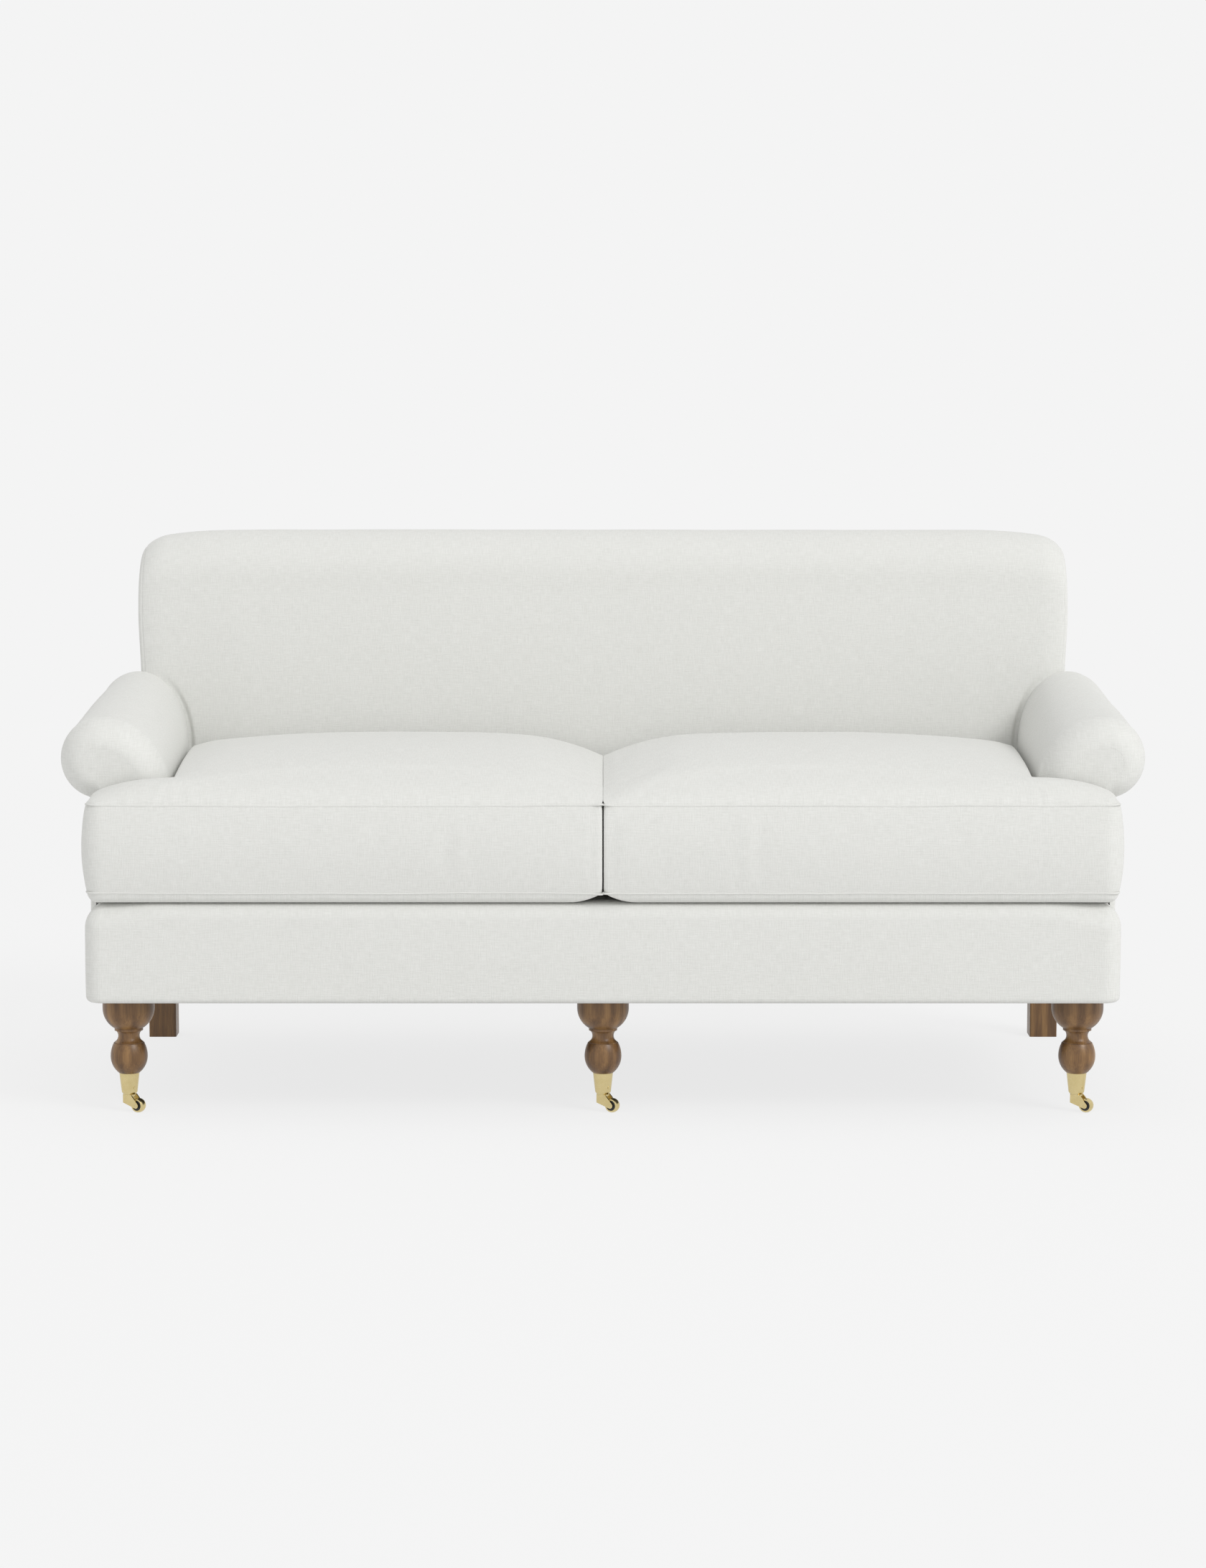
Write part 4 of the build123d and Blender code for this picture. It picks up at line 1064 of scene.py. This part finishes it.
def border_patches():
    """The base's front border: a padded strip round the front and corners, with a shelf and closed ends."""
    path = border_path()
    tangent = np.gradient(path, axis=0)
    out = np.stack([-tangent[:, 1], tangent[:, 0]], -1)
    out /= np.linalg.norm(out, axis=1, keepdims=True)
    near_end = smooth((np.abs(path[:, 0]) - HALF_WIDTH + BORDER_TOP_REACH) / BORDER_TOP_BLEND)
    profile = np.stack([border_profile(large) for large in BORDER_TOP + BORDER_TOP_MORE * near_end])
    plan = path[:, None, :] - out[:, None, :] * profile[..., :1]
    skin = np.concatenate([plan, profile[..., 1:]], -1)
    along = run(skin[:, :1], 0)
    share = np.clip((skin[..., 2] - BASE_BOTTOM) / (BASE_TOP - BASE_BOTTOM), 0, 1)
    amount = slack(skin, 71, BORDER_SLACK) * np.sin(np.pi * share) ** 0.7
    amount = amount * smooth((ARM_FRONT - skin[..., 1]) / BORDER_SLACK_FADE)
    belly = BORDER_BELLY * np.sin(np.pi * share)
    skin[..., :2] += out[:, None, :] * (amount + belly)[..., None]

    shelf_x = np.linspace(-HALF_WIDTH + SHELF_INSET, HALF_WIDTH - SHELF_INSET, 60)
    shelf_y = np.linspace(FRONT + SHELF_INSET, ARM_FRONT - BORDER_GAP, 8)
    x, y = np.meshgrid(shelf_x, shelf_y, indexing="ij")
    shelf = np.stack([x, y, np.full_like(x, BASE_TOP - SHELF_SUNK)], -1)
    patches = [grid(skin, pair(along, run(skin, 1))), grid(shelf, np.stack([x, y], -1))]
    for edge, way in ((skin[0], 1), (skin[-1], -1)):
        inner = edge.copy()
        inner[:, 0] = way * (HALF_WIDTH - BORDER_DEPTH)
        cap = between(edge, inner, 8)
        patches.append(grid(cap, cap[..., [0, 2]]))
    return patches


cover("front_border_cover", border_patches(), "frame", "front_border")


# Floor, light and camera

def seen_ray(tree):
    """1 for rays from the eye, and for those that metal or glass sends on."""
    path = node(tree, "ShaderNodeLightPath")
    seen = math_node(tree, "MAXIMUM", path.outputs["Is Camera Ray"], path.outputs["Is Glossy Ray"])
    return math_node(tree, "MAXIMUM", seen, path.outputs["Is Transmission Ray"])


def floor_material(name, tone):
    """Pale floor that shows lighter to the eye than the light alone makes it, and keeps the shadow.

    Between two distances from the middle it goes over to the tone of the backdrop.
    """
    material, tree, shader = blank(name)
    shader.inputs["Base Color"].default_value = tone
    finish_of(shader, rough=1.0, specular=0.0)
    seen = seen_ray(tree)
    glow = node(tree, "ShaderNodeEmission", {"Color": tone, "Strength": 1.0}).outputs[0]
    place = node(tree, "ShaderNodeTexCoord").outputs["Object"]
    away = node(tree, "ShaderNodeVectorMath", {0: place}, operation="LENGTH").outputs["Value"]
    span = {"From Min": FLOOR_NEAR, "From Max": FLOOR_FAR, "To Min": FLOOR_LIFT, "To Max": 1.0}
    fade = {"Value": away, **span}
    faded = node(tree, "ShaderNodeMapRange", fade, interpolation_type="SMOOTHSTEP").outputs[0]
    share = math_node(tree, "MULTIPLY", seen, faded)
    mix = node(tree, "ShaderNodeMixShader", {0: share, 1: shader.outputs[0], 2: glow}).outputs[0]
    tree.links.new(mix, tree.nodes["Material Output"].inputs[0])
    return material


pale = (BACKGROUND, BACKGROUND, BACKGROUND, 1)
floor_mesh = bpy.data.meshes.new("floor")
floor_corners = [(x * FLOOR_HALF, y * FLOOR_HALF, 0) for x, y in ((-1, -1), (1, -1), (1, 1), (-1, 1))]
floor_mesh.from_pydata(floor_corners, [], [(0, 1, 2, 3)])
floor = bpy.data.objects.new("floor", floor_mesh)
bpy.context.scene.collection.objects.link(floor)
floor_mesh.materials.append(floor_material("floor", pale))

world = bpy.data.worlds.new("studio")
world.use_nodes = True
world_tree = world.node_tree
world_tree.nodes.clear()
sky = node(world_tree, "ShaderNodeBackground", {"Color": (1, 1, 1, 1), "Strength": SKY}).outputs[0]
backdrop = node(world_tree, "ShaderNodeBackground", {"Color": pale, "Strength": 1.0}).outputs[0]
mixed = node(world_tree, "ShaderNodeMixShader", {0: seen_ray(world_tree), 1: sky, 2: backdrop}).outputs[0]
world_output = node(world_tree, "ShaderNodeOutputWorld")
world_tree.links.new(mixed, world_output.inputs[0])
bpy.context.scene.world = world

lamp_data = bpy.data.lights.new("key", "AREA")
lamp_data.size = LAMP_SIZE
lamp_data.energy = LAMP_LEVEL * math.pi * LAMP_DISTANCE**2
lamp = bpy.data.objects.new("key", lamp_data)
to_lamp = Vector(LAMP_DIRECTION).normalized()
lamp.location = Vector(LAMP_AIM) + LAMP_DISTANCE * to_lamp
lamp.rotation_euler = (-to_lamp).to_track_quat("-Z", "Y").to_euler()
bpy.context.scene.collection.objects.link(lamp)

camera_data = bpy.data.cameras.new("camera")
camera_data.sensor_width = SENSOR
camera_data.lens = SENSOR * FOCAL_PIXELS / PHOTO_PIXELS
camera_data.clip_end = CAMERA_REACH
camera = bpy.data.objects.new("camera", camera_data)
camera.location = CAMERA_PLACE
camera.rotation_euler = (CAMERA_TILT, 0.0, 0.0)
bpy.context.scene.collection.objects.link(camera)
bpy.context.scene.camera = camera
bpy.context.scene.view_settings.view_transform = "Standard"
